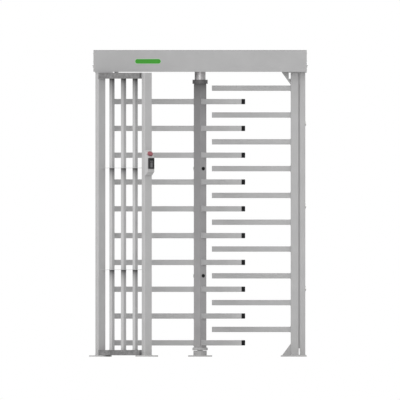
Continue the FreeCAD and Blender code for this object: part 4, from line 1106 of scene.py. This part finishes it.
def supply_screws(shape):
    for x in (SUPPLY_MIDDLE - SUPPLY_SCREW_SIDEWAYS, SUPPLY_MIDDLE + SUPPLY_SCREW_SIDEWAYS):
        for y in (-SUPPLY_SCREW_OUT, SUPPLY_SCREW_OUT):
            add_socket_screw(shape, Vector((x, y, SUPPLY_TOP)), UP, radius=0.0034, height=0.0020)


def terminal_screws(shape):
    """Clamping screws at both ends of each terminal block."""
    for y in spaced(0.0, TERMINAL_PITCH, count=8):
        for side in BOTH_SIDES:
            base = Vector((TERMINAL_MIDDLE + side * TERMINAL_SCREW_SIDEWAYS, y, TERMINAL_TOP))
            add_turned(shape, base, UP, TERMINAL_PROFILE, steps=16)


add_piece(mechanism_plate_bolts, "zinc_steel")
add_piece(bearing_cover_screws, "zinc_steel")
add_piece(damper_screws, "zinc_steel")
add_piece(solenoid_screws, "zinc_steel")
add_piece(sensor_nuts, "zinc_steel")
add_piece(board_chips, "solenoid_black")
add_piece(chip_legs, "lock_chrome")
add_piece(board_capacitors, "solenoid_black")
add_piece(board_headers, "circuit_green")
add_piece(board_screws, "zinc_steel")
add_piece(relay_covers, "terminal_grey")
add_piece(supply_louvres, "supply_aluminium")
add_piece(supply_screws, "zinc_steel")
add_piece(terminal_screws, "zinc_steel")


# Backs of the indicator boards, which show when the lid is open
INDICATOR_MIDDLE = -0.391
INDICATOR_HEIGHT = 2.215
INDICATOR_HALF_LENGTH = 0.0925
INDICATOR_HALF_HEIGHT = 0.0135
INDICATOR_CORNER = 0.0134
INDICATOR_BOARD_BACK = 0.194
INDICATOR_BOARD_RAISE = 0.0008
RESISTOR_PITCH = 0.010
RESISTOR_ROW_OUT = 0.0065
LEAD_PLUG_SIDEWAYS = 0.080


def indicator_board_backs(shape):
    """Bare board behind each of the two lenses."""
    low = INDICATOR_HEIGHT - INDICATOR_HALF_HEIGHT
    high = INDICATOR_HEIGHT + INDICATOR_HALF_HEIGHT
    for side in BOTH_SIDES:
        back = side * INDICATOR_BOARD_BACK
        steps = ((back, 0.0), (back - side * INDICATOR_BOARD_RAISE, 0.0))
        add_upright_plate(shape, INDICATOR_HALF_LENGTH, low, high, INDICATOR_CORNER, steps)


def add_board_part(shape, side, x, height, half_length, half_width, thickness):
    """Small block that stands on the back of an indicator's board."""
    near = side * (INDICATOR_BOARD_BACK - INDICATOR_BOARD_RAISE)
    far = near - side * thickness
    low = Vector((x - half_length, min(near, far), height - half_width))
    high = Vector((x + half_length, max(near, far), height + half_width))
    add_rounded_box(shape, low, high, radius=0.0002)


def indicator_resistors(shape):
    """Two rows of resistors and a plug for the lead."""
    for side in BOTH_SIDES:
        for x in spaced(0.0, RESISTOR_PITCH, count=14):
            for rise in (-RESISTOR_ROW_OUT, RESISTOR_ROW_OUT):
                add_board_part(shape, side, x, INDICATOR_HEIGHT + rise, half_length=0.0018,
                               half_width=0.0009, thickness=0.0010)
        add_board_part(shape, side, LEAD_PLUG_SIDEWAYS, INDICATOR_HEIGHT, half_length=0.0040,
                       half_width=0.0030, thickness=0.0060)


for build, slot in ((indicator_board_backs, "circuit_green"), (indicator_resistors, "solenoid_black")):
    piece = finished_mesh(build.__name__, build)
    piece.data.transform(Matrix.Translation((INDICATOR_MIDDLE, 0.0, 0.0)))
    finish_piece(piece, slot)


# Floor, light and camera
AMBIENT = 0.38
FLOOR_SIZE = 40.0
SUN_DISTANCE = 6.0
CAMERA_PLACE = (-0.00075, -8.0, 1.175)
VIEW_WIDTH = 3.0
FARTHEST_SEEN = 60.0


def seen_rays(tree):
    """1 for rays from the camera, a mirror or glass, and 0 for the rest."""
    path = tree.nodes.new("ShaderNodeLightPath")
    seen = arithmetic(tree, "MAXIMUM", path.outputs["Is Camera Ray"],
                      path.outputs["Is Glossy Ray"])
    return arithmetic(tree, "MAXIMUM", seen, path.outputs["Is Transmission Ray"])


def white_surroundings():
    """World that is white where it is seen and gives a soft even light everywhere."""
    world = bpy.data.worlds.new("surroundings")
    bpy.context.scene.world = world
    world.use_nodes = True
    tree = world.node_tree
    background = tree.nodes["Background"]
    background.inputs["Color"].default_value = (1.0, 1.0, 1.0, 1.0)
    strength = ranged(tree, seen_rays(tree), 0.0, 1.0, AMBIENT, 1.0)
    tree.links.new(strength, background.inputs["Strength"])


def floor_finish():
    """Pale matt floor with faint clouds."""
    material, tree, surface = blank_material("pale_floor")
    cloud = noise(tree, coordinates(tree), scale=3.0, detail=4.0)
    tint = mixed_colour(tree, cloud, (0.80, 0.80, 0.79), (0.84, 0.84, 0.83))
    tree.links.new(tint, surface.inputs["Base Color"])
    surface.inputs["Roughness"].default_value = 0.8
    return material


def floor_shape(shape):
    bmesh.ops.create_grid(shape, x_segments=12, y_segments=12, size=FLOOR_SIZE / 2)


def pale_floor():
    floor = finished_mesh("floor", floor_shape)
    floor.data.materials.append(floor_finish())


def soft_sun(name, level, azimuth, elevation, spread):
    """Even light from far away; the spread is the angle in degrees that its source fills."""
    lamp = bpy.data.lights.new(name, "SUN")
    lamp.energy = level * math.pi
    lamp.angle = math.radians(spread)
    lift = math.radians(elevation)
    away = plan_direction(azimuth) * math.cos(lift) + UP * math.sin(lift)
    light = linked_object(name, lamp)
    light.location = away * SUN_DISTANCE
    light.rotation_euler = away.to_track_quat("Z", "Y").to_euler()


def front_camera():
    """Square-on view of the front, with the whole object in it."""
    lens = bpy.data.cameras.new("front_camera")
    lens.type = "ORTHO"
    lens.ortho_scale = VIEW_WIDTH
    lens.clip_end = FARTHEST_SEEN
    camera = linked_object("front_camera", lens)
    camera.location = CAMERA_PLACE
    camera.rotation_euler = (math.radians(90.0), 0.0, 0.0)
    bpy.context.scene.camera = camera


white_surroundings()
pale_floor()
soft_sun("front_light", level=0.31, azimuth=265.0, elevation=8.0, spread=35.0)
soft_sun("left_light", level=0.35, azimuth=203.0, elevation=12.0, spread=35.0)
soft_sun("right_light", level=0.13, azimuth=350.0, elevation=10.0, spread=50.0)
soft_sun("top_light", level=0.34, azimuth=250.0, elevation=78.0, spread=60.0)
front_camera()

bpy.context.scene.view_settings.view_transform = "Standard"
